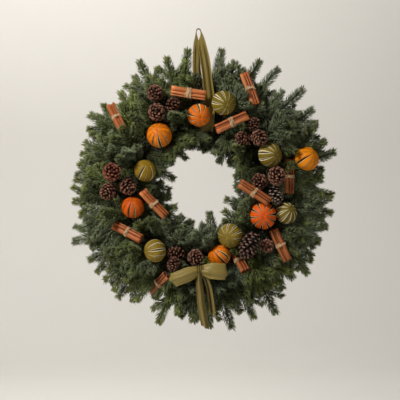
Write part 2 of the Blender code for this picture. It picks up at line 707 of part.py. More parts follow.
def place_twigs(chance):
    """Each twig in its sector, turned clear of the pieces and of every other twig."""
    sector_turn = 360 / SECTORS
    placed = []
    for wish_root, wish_angle, wish_reach, wish_depth, bow in twig_wishes(chance):
        for trial in range(TWIG_TRIALS):
            ease = trial / TWIG_TRIALS
            angle = wish_angle + chance.uniform(*TIP_SHIFT) * ease
            reach = wish_reach * (1 - SHORTENING * ease * chance.random())
            depth = wish_depth + chance.uniform(*DEPTH_SHIFT) * ease
            wish_turn = (wish_root + chance.uniform(*ROOT_SHIFT) * ease) % 360
            sector = int(wish_turn // sector_turn)
            low = sector * sector_turn + ROOT_END_GAP
            root_angle = min(max(wish_turn, low), low + sector_turn - 2 * ROOT_END_GAP)
            root = polar(root_angle, STEM_REACH, STEM_DEPTH)
            tip = polar(angle, reach, depth)
            middle = (root + tip) / 2 + Vector((0, -bow, 0))
            owner = "fir_spray_%d" % (sector + 1)
            gap = min(KEEP_CLEAR.gap(root, middle, TWIG_ROOT, owner),
                      KEEP_CLEAR.gap(middle, tip, TWIG_ROOT, owner))
            if gap > CLEARANCE:
                twig = "%s_twig_%d" % (owner, len(placed))
                KEEP_CLEAR.add(root, middle, TWIG_ROOT, twig)
                KEEP_CLEAR.add(middle, tip, TWIG_ROOT, twig)
                placed.append((owner, twig, root, middle, tip))
                break
    return placed


def needle_places(root, middle, tip):
    """Needles along a twig, from each side of its core in turn, closing in at its tip."""
    turn_to_twig = aimed(root, tip - root).to_3x3()
    length = (tip - root).length
    count = max(5, round(length / NEEDLE_SPACING))
    for number in range(count):
        part = FIRST_NEEDLE + (LAST_NEEDLE - FIRST_NEEDLE) * number / (count - 1)
        if part < 0.5:
            base = root.lerp(middle, part * 2)
            along = (middle - root).normalized()
        else:
            base = middle.lerp(tip, part * 2 - 1)
            along = (tip - middle).normalized()
        turn = math.pi / 4 + number * math.pi / 2
        side = turn_to_twig @ Vector((math.cos(turn), math.sin(turn), 0))
        side = (side - along * side.dot(along)).normalized()
        angle = NEEDLE_ANGLE if number < count - 4 else TIP_NEEDLE_ANGLE
        yield base, along * math.cos(angle) + side * math.sin(angle)


def sector_stem(sector):
    """Stems bound in one bundle along a sixth of the frame."""
    turn = 360 / SECTORS
    first = sector * turn + STEM_END_GAP
    last = (sector + 1) * turn - STEM_END_GAP
    steps = 6
    curve = bpy.data.curves.new("stem", "CURVE")
    curve.dimensions = "3D"
    curve.bevel_depth = STEM_RADIUS
    curve.bevel_resolution = 1
    curve.use_fill_caps = True
    spline = curve.splines.new("POLY")
    spline.points.add(steps)
    owner = "fir_spray_%d" % (sector + 1)
    places = [polar(first + (last - first) * step / steps, STEM_REACH, STEM_DEPTH)
              for step in range(steps + 1)]
    for point, place in zip(spline.points, places):
        point.co = (*place, 1.0)
    for here, next_one in zip(places, places[1:]):
        KEEP_CLEAR.add(here, next_one, STEM_RADIUS, owner)
    shape = bpy.data.objects.new("stem", curve)
    WREATH.objects.link(shape)
    mesh = to_mesh("stem", shape)
    bpy.data.objects.remove(shape)
    return add_object("stem", mesh, "fir")


def fir(stems):
    """Six sprays of fir, each one solid of stems, twigs and needles."""
    chance = np.random.default_rng(SEED)
    sprays = {"fir_spray_%d" % (number + 1): [stem] for number, stem in enumerate(stems)}
    twigs = place_twigs(chance)
    needle = cone_mesh("needle", 3, NEEDLE_RADIUS, 0.0, 1.0)
    for owner, twig, root, middle, tip in twigs:
        sprays[owner].append(bent_twig(twig, root, middle, tip))
    for owner, twig, root, middle, tip in twigs:
        for base, direction in needle_places(root, middle, tip):
            length = NEEDLE_LENGTH * chance.uniform(*NEEDLE_VARIATION)
            end = base + direction * length
            outer = base + direction * TWIG_ROOT
            if BACK_Y - max(base.y, end.y) < BACK_GAP:
                continue
            if KEEP_CLEAR.gap(outer, end, NEEDLE_RADIUS, twig) < CLEARANCE:
                continue
            KEEP_CLEAR.add(outer, end, NEEDLE_RADIUS, twig)
            place = aimed(base, direction) @ Matrix.Diagonal((1, 1, length, 1))
            sprays[owner].append(add_object("needle", needle, "fir", place))
    for name, pieces in sprays.items():
        fuse(name, pieces, "fir")


for leftover in list(bpy.data.objects):
    bpy.data.objects.remove(leftover)
WREATH = bpy.data.collections.new("christmas_wreath")
bpy.context.scene.collection.children.link(WREATH)
KEEP_CLEAR = Clearance()

for fruit_name, fruit_values in FRUIT.items():
    dried_fruit(fruit_name, *fruit_values)
for cone_name, cone_values in CONES.items():
    pine_cone(cone_name, *cone_values)
for bundle_name, bundle_values in CINNAMON.items():
    cinnamon_bundle(bundle_name, *bundle_values)
ribbon_hanger()
ribbon_bow()
fir_stems = [sector_stem(number) for number in range(SECTORS)]
wire_frame()
fir(fir_stems)
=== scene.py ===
"""Looks of a fir wreath with dried fruit, pine cones, cinnamon and an olive satin ribbon.

Metres, +Z up. X runs to the right, Y to the back, and the origin is at the ribbon loop's top.
"""

import json
import math

import bpy
import numpy as np
from mathutils import Matrix, Vector

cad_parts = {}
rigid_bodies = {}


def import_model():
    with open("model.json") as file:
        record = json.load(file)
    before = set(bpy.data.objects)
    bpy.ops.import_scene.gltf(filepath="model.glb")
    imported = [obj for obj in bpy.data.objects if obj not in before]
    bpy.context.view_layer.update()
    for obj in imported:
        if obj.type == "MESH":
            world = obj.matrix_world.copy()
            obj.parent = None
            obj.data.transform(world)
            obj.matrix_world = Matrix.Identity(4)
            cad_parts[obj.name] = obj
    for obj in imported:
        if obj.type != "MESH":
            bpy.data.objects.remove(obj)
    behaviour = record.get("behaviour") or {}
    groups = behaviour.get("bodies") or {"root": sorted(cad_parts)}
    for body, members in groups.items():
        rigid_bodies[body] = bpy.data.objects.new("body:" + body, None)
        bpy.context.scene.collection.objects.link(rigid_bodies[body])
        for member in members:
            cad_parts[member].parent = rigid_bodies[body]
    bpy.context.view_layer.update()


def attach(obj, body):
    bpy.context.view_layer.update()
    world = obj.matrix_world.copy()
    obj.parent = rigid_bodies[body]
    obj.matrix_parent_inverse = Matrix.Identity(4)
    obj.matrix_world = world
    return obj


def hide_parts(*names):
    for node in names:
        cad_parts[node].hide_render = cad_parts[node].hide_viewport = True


for leftover in list(bpy.data.objects):
    bpy.data.objects.remove(leftover)
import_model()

# The solids' own values and placing rule, repeated so that every twig lies where its solid does
CENTRE_X = 0.0075
CENTRE_Z = -0.353
BACK_Y = 0.008
CLEARANCE = 0.0003
RING_RADII = (0.133, 0.171)
RING_DEPTH = 0.016
RING_WIRE = 0.00175
RING_SEGMENTS = 24
SPOKE_COUNT = 6
SPOKE_WIRE = 0.0015
STUB_WIRE = 0.0012
STUB_TURNS = range(-24, 25, 3)
SECTORS = 6
SECTOR_TURN = 360 / SECTORS
STEM_REACH = 0.152
STEM_RADIUS = 0.007
STEM_DEPTH = RING_DEPTH + SPOKE_WIRE + CLEARANCE + STEM_RADIUS
STEM_END_GAP = 1.2
STEM_STEPS = 6
ROOT_END_GAP = 3.4
TWIG_TRIALS = 40
TWIG_ROOT = 0.0034
SEED = 24
OUTER_TIPS = [
    (8, 0.301), (16, 0.281), (24, 0.300), (32, 0.304), (45, 0.303), (53, 0.292), (60, 0.281),
    (67, 0.282), (74, 0.293), (81, 0.264), (92, 0.277), (100, 0.279), (107, 0.268), (113, 0.271),
    (121, 0.272), (128, 0.288), (139, 0.280), (149, 0.304), (158, 0.294), (168, 0.299),
    (177, 0.291), (184, 0.279), (191, 0.269), (198, 0.296), (210, 0.271), (218, 0.290),
    (227, 0.280), (238, 0.281), (248, 0.294), (255, 0.278), (265, 0.272), (274, 0.273),
    (283, 0.262), (292, 0.268), (304, 0.287), (312, 0.270), (320, 0.270), (328, 0.286),
    (335, 0.307), (345, 0.296), (354, 0.298),
]
INNER_TIPS = [
    (5, 0.103), (31, 0.077), (46, 0.088), (69, 0.083), (88, 0.080), (112, 0.062), (133, 0.072),
    (163, 0.060), (180, 0.080), (199, 0.078), (217, 0.077), (238, 0.073), (254, 0.080),
    (271, 0.076), (292, 0.072), (322, 0.100), (342, 0.107),
]
FILL_ROWS = [
    (30, 0.246, 0.064),
    (26, 0.214, 0.094),
    (16, 0.158, 0.104),
    (18, 0.106, 0.088),
]
OUTER_DEPTH = (0.030, 0.048)
OUTER_BOW = 0.012
INNER_DEPTH = (0.034, 0.058)
OUTER_LEAN = (-4, 9)
FILL_LEAN = (-6, 12)
INNER_LEAN = (-9, 4)
TIP_SHIFT = (-10, 10)
ROOT_SHIFT = (-6, 6)
SHORTENING = 0.10
DEPTH_SHIFT = (-0.026, 0.012)
FILL_SPREAD = (-0.25, 0.25)
REACH_VARIATION = (0.96, 1.05)
DEPTH_VARIATION = (0.92, 1.06)

# Dried fruit: x, z, depth, radius, and where the end of its core points in x and z
FRUIT = {
    "orange_1": (-0.0914, 0.1167, 0.086, 0.0269, -0.16, 0.46),
    "orange_2": (-0.0067, 0.1597, 0.088, 0.0247, 0.18, -0.29),
    "orange_3": (-0.1479, -0.0372, 0.084, 0.0241, -0.02, 0.74),
    "orange_4": (0.0374, -0.1419, 0.064, 0.0247, 0.15, -0.88),
    "orange_5": (0.1310, -0.0553, 0.084, 0.0286, 0.00, 0.00),
    "orange_6": (0.2251, 0.0673, 0.074, 0.0260, 0.62, 0.45),
    "lime_1": (0.0464, 0.1858, 0.088, 0.0264, 0.28, -0.20),
    "lime_2": (-0.1219, 0.0411, 0.084, 0.0241, 0.33, 0.70),
    "lime_3": (-0.1005, -0.1303, 0.082, 0.0247, -0.89, -0.12),
    "lime_4": (0.0605, -0.0978, 0.081, 0.0264, -0.30, -0.11),
    "lime_5": (0.1813, -0.0497, 0.068, 0.0236, 0.47, 0.43),
    "lime_6": (0.1453, 0.0752, 0.086, 0.0262, 0.61, 0.00),
}
FRUIT_HEIGHT = 0.94

# Pine cones: x, z, depth, radius, half length, and where the cone's tip points
CONES = {
    "cone_1": (-0.1928, 0.0375, 0.090, 0.0206, 0.0266, (0.10, 0.15, 1.0)),
    "cone_2": (-0.2010, -0.0020, 0.073, 0.0177, 0.0257, (-0.30, -0.50, 0.8)),
    "cone_3": (-0.1600, 0.0085, 0.085, 0.0188, 0.0268, (0.35, -0.35, 0.9)),
    "cone_4": (-0.0998, 0.2070, 0.080, 0.0181, 0.0251, (-0.10, 0.30, 1.0)),
    "cone_5": (-0.0968, 0.1660, 0.087, 0.0196, 0.0266, (0.00, 0.00, 1.0)),
    "cone_6": (-0.0638, 0.1823, 0.073, 0.0154, 0.0214, (0.40, 0.40, 0.8)),
    "cone_7": (0.1105, 0.1404, 0.077, 0.0136, 0.0196, (0.20, 0.50, 0.8)),
    "cone_8": (0.0879, 0.1110, 0.078, 0.0167, 0.0237, (-0.40, -0.20, 0.9)),
    "cone_9": (0.1216, 0.1114, 0.098, 0.0177, 0.0247, (0.20, -0.30, 1.0)),
    "cone_10": (0.1583, 0.0293, 0.104, 0.0198, 0.0268, (0.10, 0.30, 1.0)),
    "cone_11": (0.1233, 0.0181, 0.078, 0.0177, 0.0247, (-0.30, 0.10, 1.0)),
    "cone_12": (0.1577, -0.0082, 0.075, 0.0171, 0.0261, (0.15, -0.90, 0.4)),
    "cone_13": (0.1020, -0.1171, 0.098, 0.0213, 0.0343, (-0.45, -0.85, 0.25)),
    "cone_14": (0.1394, -0.1199, 0.074, 0.0156, 0.0216, (0.10, 0.00, -1.0)),
    "cone_15": (-0.0550, -0.1376, 0.069, 0.0156, 0.0226, (-0.90, 0.20, 0.5)),
    "cone_16": (-0.0140, -0.1449, 0.078, 0.0184, 0.0244, (0.20, 0.00, 1.0)),
    "cone_17": (-0.0605, -0.1575, 0.097, 0.0136, 0.0196, (-0.30, -0.60, 0.7)),
}

# Cinnamon bundles: x, z and depth of the middle, and the way that the quills run
CINNAMON = {
    "cinnamon_1": (-0.1835, 0.1570, 0.062, (0.38, -0.74, 0.56)),
    "cinnamon_2": (-0.0290, 0.2074, 0.090, (0.99, -0.15, 0.00)),
    "cinnamon_3": (0.1020, 0.2166, 0.082, (0.33, -0.91, 0.26)),
    "cinnamon_4": (0.0636, 0.1444, 0.091, (0.91, 0.42, -0.03)),
    "cinnamon_5": (0.1877, 0.0296, 0.063, (-0.01, -1.00, 0.03)),
    "cinnamon_6": (0.1117, -0.0057, 0.103, (0.84, -0.54, 0.08)),
    "cinnamon_7": (0.1689, -0.1180, 0.072, (0.42, -0.90, -0.11)),
    "cinnamon_8": (0.0803, -0.1516, 0.066, (0.34, -0.58, 0.74)),
    "cinnamon_9": (-0.1028, -0.0296, 0.089, (0.68, -0.73, -0.08)),
    "cinnamon_10": (-0.1596, -0.0900, 0.075, (0.79, -0.40, 0.46)),
    "cinnamon_11": (-0.0935, -0.2009, 0.062, (0.50, 0.51, 0.70)),
}
QUILL_LENGTH = 0.076
QUILL_RADIUS = 0.0054
QUILL_SPACING = 0.0051
QUILL_ROOM = 0.0059
TIE_ROOM = 0.0079

# Ribbon: stations of the hanger's closed loop, of the bow's loops and of its tails
STRIP_ROOM = 0.0022
STRIP_LINE_SPACING = 0.0045
HANGER_PATH = [
    (-0.0046, -0.0040, 0.0080, 0.0062, 90),
    (-0.0058, -0.0125, 0.0078, 0.0064, 76),
    (-0.0064, -0.0260, 0.0060, 0.0070, 42),
    (-0.0060, -0.0420, 0.0028, 0.0080, 12),
    (-0.0056, -0.0580, 0.0008, 0.0085, 0),
    (-0.0050, -0.0900, 0.0005, 0.0095, 0),
    (0.0075, -0.2080, 0.0005, 0.0150, 0),
    (0.0120, -0.2210, 0.0030, 0.0168, 0),
    (0.0130, -0.2259, 0.0120, 0.0180, 0),
    (0.0130, -0.2259, 0.0340, 0.0180, 0),
    (0.0135, -0.2244, 0.0440, 0.0180, 0),
    (0.0150, -0.2193, 0.0530, 0.0175, 0),
    (0.0175, -0.2100, 0.0600, 0.0165, 0),
    (0.0210, -0.1900, 0.0650, 0.0140, 0),
    (0.0245, -0.1600, 0.0680, 0.0118, 0),
    (0.0260, -0.1270, 0.0690, 0.0110, 0),
    (0.0220, -0.0980, 0.0680, 0.0108, 0),
    (0.0175, -0.0730, 0.0630, 0.0108, 0),
    (0.0135, -0.0540, 0.0500, 0.0100, 6),
    (0.0100, -0.0360, 0.0340, 0.0088, 22),
    (0.0076, -0.0220, 0.0210, 0.0076, 50),
    (0.0060, -0.0115, 0.0125, 0.0066, 76),
    (0.0046, -0.0040, 0.0080, 0.0062, 90),
    (0.0031, -0.0007, 0.0080, 0.0060, 90),
    (0.0000, 0.0005, 0.0080, 0.0060, 90),
    (-0.0031, -0.0007, 0.0080, 0.0060, 90),
]
KNOT = (-0.0043, -0.1700, 0.106)
KNOT_SIZE = (0.0075, 0.0095, 0.0085)
BOW_LOOPS = [
    (-0.0640, -0.1930, 0.105, 0.0150, 0.0115),
    (0.0520, -0.1745, 0.108, 0.0170, 0.0125),
]
BOW_LOOP_STEPS = 12
BOW_GATHERED = 0.006
BOW_FLARE = 1.8
BOW_TAILS = [
    [(-0.0060, -0.1720, 0.104, 0.0050), (-0.0070, -0.1900, 0.110, 0.0070),
     (-0.0040, -0.2150, 0.113, 0.0090), (-0.0010, -0.2450, 0.108, 0.0098),
     (0.0030, -0.2700, 0.103, 0.0100), (0.0070, -0.2930, 0.100, 0.0095)],
    [(-0.0020, -0.1720, 0.104, 0.0050), (0.0080, -0.1880, 0.104, 0.0060),
     (0.0150, -0.2080, 0.101, 0.0075), (0.0195, -0.2350, 0.098, 0.0080),
     (0.0230, -0.2660, 0.095, 0.0080)],
]


def spot(x, z, depth):
    """World place of a point given from the wreath's centre and its back plane."""
    return Vector((CENTRE_X + x, BACK_Y - depth, CENTRE_Z + z))


def polar(degrees, reach, depth):
    """World place of a point given clockwise from the top."""
    angle = math.radians(degrees)
    return spot(reach * math.sin(angle), reach * math.cos(angle), depth)


def heading(x, z, forward):
    """Unit direction given to the right, up and to the front."""
    return Vector((x, -forward, z)).normalized()


def aimed(start, direction):
    """Matrix that puts the origin at start and turns +Z along direction."""
    return Matrix.Translation(start) @ direction.to_track_quat("Z", "Y").to_matrix().to_4x4()


class Clearance:
    """Straight round-ended rods that stand for the pieces, to keep foliage out of them."""

    def __init__(self):
        self.starts = []
        self.ends = []
        self.radii = []
        self.owners = []

    def add(self, start, end, radius, owner):
        self.starts.append(tuple(start))
        self.ends.append(tuple(end))
        self.radii.append(radius)
        self.owners.append(owner)

    def gap(self, start, end, radius, own):
        """Least gap from one rod to every rod that isn't its own or one of its twigs'."""
        twigs = own + "_twig"
        others = np.array([owner != own and not owner.startswith(twigs)
                           for owner in self.owners])
        starts = np.array(self.starts)[others]
        ends = np.array(self.ends)[others]
        radii = np.array(self.radii)[others]
        return float(np.min(rod_distances(start, end, starts, ends) - radii)) - radius


def rod_distances(start, end, starts, ends):
    """Distance from one straight line to each of many others."""
    start = np.array(start)
    along = np.array(end) - start
    others = ends - starts
    offset = start - starts
    own_square = max(float(along @ along), 1e-12)
    squares = np.maximum(np.sum(others * others, axis=1), 1e-12)
    cross = others @ along
    other_offset = np.sum(others * offset, axis=1)
    own_offset = offset @ along
    spread = np.maximum(own_square * squares - cross * cross, 1e-18)
    own_part = np.clip((cross * other_offset - own_offset * squares) / spread, 0, 1)
    other_part = np.clip((cross * own_part + other_offset) / squares, 0, 1)
    own_part = np.clip((cross * other_part - own_offset) / own_square, 0, 1)
    nearest = offset + np.outer(own_part, along) - others * other_part[:, None]
    return np.linalg.norm(nearest, axis=1)


def keep_clear_of_strip(stations, closed, owner):
    """Rods side by side along a strip."""
    count = len(stations)
    for step in range(count if closed else count - 1):
        here, next_one = stations[step], stations[(step + 1) % count]
        widest = 2 * max(here[2], next_one[2])
        lines = max(2, math.ceil(widest / STRIP_LINE_SPACING) + 1)
        for line in range(lines):
            part = 2 * line / (lines - 1) - 1
            KEEP_CLEAR.add(here[0] + here[1] * here[2] * part,
                           next_one[0] + next_one[1] * next_one[2] * part, STRIP_ROOM, owner)


def hanger_stations():
    middles = [Vector((x, BACK_Y - depth, z)) for x, z, depth, _, _ in HANGER_PATH]
    stations = []
    for number, (_, _, _, half_width, turn) in enumerate(HANGER_PATH):
        after = middles[(number + 1) % len(middles)]
        along = (after - middles[number - 1]).normalized()
        turn = math.radians(turn)
        across = Vector((math.cos(turn), -math.sin(turn), 0))
        across = (across - along * across.dot(along)).normalized()
        stations.append((middles[number], across, half_width))
    return stations


def loop_stations(values, steps, gathered=BOW_GATHERED, flare=BOW_FLARE):
    """Stations round one of the bow's loops, from the knot and back to it."""
    x, z, depth, half_width, half_depth = values
    knot = spot(*KNOT)
    reach = spot(x, z, depth) - knot
    across = reach.cross(Vector((0, 1, 0))).normalized()
    stations = []
    for step in range(steps):
        turn = 2 * math.pi * step / steps
        out = (1 - math.cos(turn)) / 2
        middle = knot + reach * out + Vector((0, half_depth * math.sin(turn), 0))
        width = gathered + (half_width - gathered) * min(1.0, out * flare)
        stations.append((middle, across, width))
    return stations


def tail_stations(tail):
    across = Vector((1, 0, 0.25)).normalized()
    return [(spot(x, z, depth), across, half_width) for x, z, depth, half_width in tail]


def stub_start(owner, target):
    """Place on a ring, the nearer one if it can be, from which a stub wire runs clear."""
    x, z = target.x - CENTRE_X, target.z - CENTRE_Z
    angle = math.degrees(math.atan2(x, z))
    reach = math.hypot(x, z)
    choices = []
    for ring in RING_RADII:
        for turn in STUB_TURNS:
            start = polar(angle + turn, ring, RING_DEPTH)
            gap = KEEP_CLEAR.gap(start, target, STUB_WIRE + CLEARANCE, owner)
            cost = abs(ring - reach) + 0.001 * abs(turn)
            choices.append((gap < CLEARANCE, cost, tuple(start)))
    return min(choices)[2]


def twig_wishes(chance):
    """Every twig that the wreath would have: root angle, tip, depth and bow."""
    wishes = []
    for angle, reach in OUTER_TIPS:
        wishes.append((angle - chance.uniform(*OUTER_LEAN), angle, reach,
                       chance.uniform(*OUTER_DEPTH), OUTER_BOW))
    for angle, reach in INNER_TIPS:
        wishes.append((angle - chance.uniform(*INNER_LEAN), angle, reach,
                       chance.uniform(*INNER_DEPTH), 0.0))
    for count, reach, depth in FILL_ROWS:
        for step in range(count):
            angle = (step + 0.5 + chance.uniform(*FILL_SPREAD)) * 360 / count
            wishes.append((angle - chance.uniform(*FILL_LEAN), angle,
                           reach * chance.uniform(*REACH_VARIATION),
                           depth * chance.uniform(*DEPTH_VARIATION), 0.0))
    return wishes


def place_twigs(chance):
    """Each twig in its sector, turned clear of the pieces and of every other twig."""
    placed = []
    for wish_root, wish_angle, wish_reach, wish_depth, bow in twig_wishes(chance):
        for trial in range(TWIG_TRIALS):
            ease = trial / TWIG_TRIALS
            angle = wish_angle + chance.uniform(*TIP_SHIFT) * ease
            reach = wish_reach * (1 - SHORTENING * ease * chance.random())
            depth = wish_depth + chance.uniform(*DEPTH_SHIFT) * ease
            wish_turn = (wish_root + chance.uniform(*ROOT_SHIFT) * ease) % 360
            sector = int(wish_turn // SECTOR_TURN)
            low = sector * SECTOR_TURN + ROOT_END_GAP
            root_angle = min(max(wish_turn, low), low + SECTOR_TURN - 2 * ROOT_END_GAP)
            root = polar(root_angle, STEM_REACH, STEM_DEPTH)
            tip = polar(angle, reach, depth)
            middle = (root + tip) / 2 + Vector((0, -bow, 0))
            owner = "fir_spray_%d" % (sector + 1)
            gap = min(KEEP_CLEAR.gap(root, middle, TWIG_ROOT, owner),
                      KEEP_CLEAR.gap(middle, tip, TWIG_ROOT, owner))
            if gap > CLEARANCE:
                twig = "%s_twig_%d" % (owner, len(placed))
                KEEP_CLEAR.add(root, middle, TWIG_ROOT, twig)
                KEEP_CLEAR.add(middle, tip, TWIG_ROOT, twig)
                placed.append((sector, np.array(root), np.array(middle), np.array(tip), bow > 0))
                break
    return placed


def fill_clearance():
    """The rods of every piece, in the order that the solids give them. Returns the stubs."""
    for name, (x, z, depth, radius, _, _) in FRUIT.items():
        KEEP_CLEAR.add(spot(x, z, depth), spot(x, z, depth), radius, name)
    for name, (x, z, depth, radius, half_length, tip) in CONES.items():
        straight = heading(*tip) * (half_length - radius)
        centre = spot(x, z, depth)
        KEEP_CLEAR.add(centre - straight, centre + straight, radius, name)
    for name, (x, z, depth, run) in CINNAMON.items():
        centre = spot(x, z, depth)
        axis = heading(*run)
        across = axis.cross(Vector((0, -1, 0))).normalized()
        line = axis * QUILL_LENGTH / 2
        for side in (-1, 1):
            middle = centre + across * side * QUILL_SPACING
            KEEP_CLEAR.add(middle - line, middle + line, QUILL_ROOM, name)
        side = across * QUILL_SPACING
        KEEP_CLEAR.add(centre - side, centre + side, TIE_ROOM, name)
    keep_clear_of_strip(hanger_stations(), True, "ribbon_hanger")
    KEEP_CLEAR.add(spot(*KNOT), spot(*KNOT), max(KNOT_SIZE), "ribbon_bow")
    for values in BOW_LOOPS:
        keep_clear_of_strip(loop_stations(values, BOW_LOOP_STEPS), True, "ribbon_bow")
    for tail in BOW_TAILS:
        keep_clear_of_strip(tail_stations(tail), False, "ribbon_bow")
    for sector in range(SECTORS):
        first = sector * SECTOR_TURN + STEM_END_GAP
        last = (sector + 1) * SECTOR_TURN - STEM_END_GAP
        places = [polar(first + (last - first) * step / STEM_STEPS, STEM_REACH, STEM_DEPTH)
                  for step in range(STEM_STEPS + 1)]
        for here, next_one in zip(places, places[1:]):
            KEEP_CLEAR.add(here, next_one, STEM_RADIUS, "fir_spray_%d" % (sector + 1))
    decorations = {**FRUIT, **CONES, **CINNAMON}
    targets = {name: spot(*values[:3]) for name, values in decorations.items()}
    targets["ribbon_bow"] = spot(*KNOT)
    stubs = []
    for name, target in targets.items():
        start = Vector(stub_start(name, target))
        KEEP_CLEAR.add(start, target, STUB_WIRE + CLEARANCE, name)
        stubs.append((name, start, target))
    for step in range(SPOKE_COUNT):
        turn = (step + 0.5) * 360 / SPOKE_COUNT
        KEEP_CLEAR.add(polar(turn, RING_RADII[0], RING_DEPTH),
                       polar(turn, RING_RADII[1], RING_DEPTH), SPOKE_WIRE, "wire_frame")
    turn = 360 / RING_SEGMENTS
    for ring in RING_RADII:
        for step in range(RING_SEGMENTS):
            KEEP_CLEAR.add(polar(step * turn, ring, RING_DEPTH),
                           polar((step + 1) * turn, ring, RING_DEPTH), RING_WIRE, "wire_frame")
    return stubs


# Mesh making

def unit(vectors):
    return vectors / np.maximum(np.linalg.norm(vectors, axis=-1, keepdims=True), 1e-12)


def smooth_step(values, low, high):
    part = np.clip((values - low) / (high - low), 0, 1)
    return part * part * (3 - 2 * part)


def blend(first, second, part):
    """Mix of two colours by a part from 0 to 1, for each point."""
    part = np.asarray(part)[..., None]
    return np.asarray(first) * (1 - part) + np.asarray(second) * part


def moved(points, matrix):
    return points @ matrix[:3, :3].T + matrix[:3, 3]


def running_length(path):
    """Length along a path up to each of its points."""
    return np.concatenate([[0], np.cumsum(np.linalg.norm(np.diff(path, axis=0), axis=1))])


class Form:
    """Points with tones and grain places, and faces with their material, for one mesh."""

    def __init__(self):
        self.points = []
        self.tones = []
        self.grains = []
        self.faces = []
        self.count = 0

    def add(self, points, faces, tones, grain=None, slot=0):
        points = np.asarray(points, dtype=float).reshape(-1, 3)
        tones = np.broadcast_to(np.asarray(tones, dtype=float), (len(points), 3))
        if grain is None:
            grain = np.zeros((len(points), 2))
        self.points.append(points)
        self.tones.append(tones)
        self.grains.append(np.asarray(grain, dtype=float).reshape(-1, 2))
        for group in faces:
            self.faces.append((np.asarray(group, dtype=np.int64) + self.count, slot))
        self.count += len(points)

    def tube(self, path, radii, sides, hint, tones, slot=0, flat=1.0, close=True):
        """Round or flattened rod along a path, closed at its ends by a point each."""
        path = np.asarray(path, dtype=float)
        count = len(path)
        along = unit(np.gradient(path, axis=0))
        side = unit(np.cross(along, np.asarray(hint, dtype=float)))
        lift = np.cross(side, along)
        radii = np.broadcast_to(np.asarray(radii, dtype=float), (count,))
        turn = np.arange(sides) * 2 * math.pi / sides
        ring = (side[:, None, :] * np.cos(turn)[None, :, None]
                + lift[:, None, :] * (flat * np.sin(turn))[None, :, None])
        points = path[:, None, :] + ring * radii[:, None, None]
        tones = np.broadcast_to(np.asarray(tones, dtype=float), (count, 3))
        length = running_length(path)
        grain = np.stack([np.cos(turn)[None, :] * radii[:, None],
                          np.repeat(length[:, None], sides, axis=1)], axis=-1)
        faces = [grid_faces(count, sides, True)]
        all_points = points.reshape(-1, 3)
        all_tones = np.repeat(tones, sides, axis=0)
        all_grain = grain.reshape(-1, 2)
        if close:
            start_dome, end_dome = 0.4, 0.6
            ends = np.array([path[0] - along[0] * radii[0] * start_dome,
                             path[-1] + along[-1] * radii[-1] * end_dome])
            all_points = np.concatenate([all_points, ends])
            all_tones = np.concatenate([all_tones, tones[[0, -1]]])
            all_grain = np.concatenate([all_grain, [[0, 0], [0, length[-1]]]])
            faces = closed_faces(count, sides)
        self.add(all_points, faces, all_tones, all_grain, slot)

    def build(self, name, materials):
        mesh = bpy.data.meshes.new(name)
        mesh.vertices.add(self.count)
        mesh.vertices.foreach_set("co", np.concatenate(self.points).ravel())
        corners = np.concatenate([group.ravel() for group, _ in self.faces])
        sizes = np.concatenate([np.full(len(group), group.shape[1]) for group, _ in self.faces])
        slots = np.concatenate([np.full(len(group), slot) for group, slot in self.faces])
        mesh.loops.add(len(corners))
        mesh.loops.foreach_set("vertex_index", corners)
        mesh.polygons.add(len(sizes))
        mesh.polygons.foreach_set("loop_start", np.concatenate([[0], np.cumsum(sizes)[:-1]]))
        mesh.polygons.foreach_set("material_index", slots)
        mesh.update(calc_edges=True)
        tone = mesh.attributes.new("tone", "FLOAT_COLOR", "POINT")
        tones = np.concatenate(self.tones)
        tone.data.foreach_set("color", np.column_stack([tones, np.ones(len(tones))]).ravel())
        grain = mesh.uv_layers.new(name="grain")
        grain.uv.foreach_set("vector", np.concatenate(self.grains)[corners].ravel())
        for material in materials:
            mesh.materials.append(material)
        mesh.validate()
        mesh.shade_smooth()
        made = bpy.data.objects.new(name, mesh)
        bpy.context.scene.collection.objects.link(made)
        return made


def grid_faces(rows, columns, wrap):
    """Four-sided faces over points given row by row."""
    steps = columns if wrap else columns - 1
    row, column = np.meshgrid(np.arange(rows - 1), np.arange(steps), indexing="ij")
    here = row * columns + column
    after = row * columns + (column + 1) % columns
    return np.stack([here, after, after + columns, here + columns], axis=-1).reshape(-1, 4)


def closed_faces(rows, columns):
    """Faces over rings of points, closed at both ends by the two points that come after them."""
    here = np.arange(columns)
    after = (here + 1) % columns
    last_row = (rows - 1) * columns
    first_end = np.full(columns, rows * columns)
    return [grid_faces(rows, columns, True), np.stack([after, here, first_end], axis=1),
            np.stack([last_row + here, last_row + after, first_end + 1], axis=1)]


def piece(form, name, materials, slot, *nodes):
    made = form.build(name, materials)
    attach(made, "root")
    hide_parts(*nodes)
    return made


# Materials

# The part of a noise's range that is used, and how fine the two noises are
NOISE_LOW, NOISE_HIGH = 0.3, 0.7
MOTTLE_DETAIL, BUMP_DETAIL = 4.0, 3.0


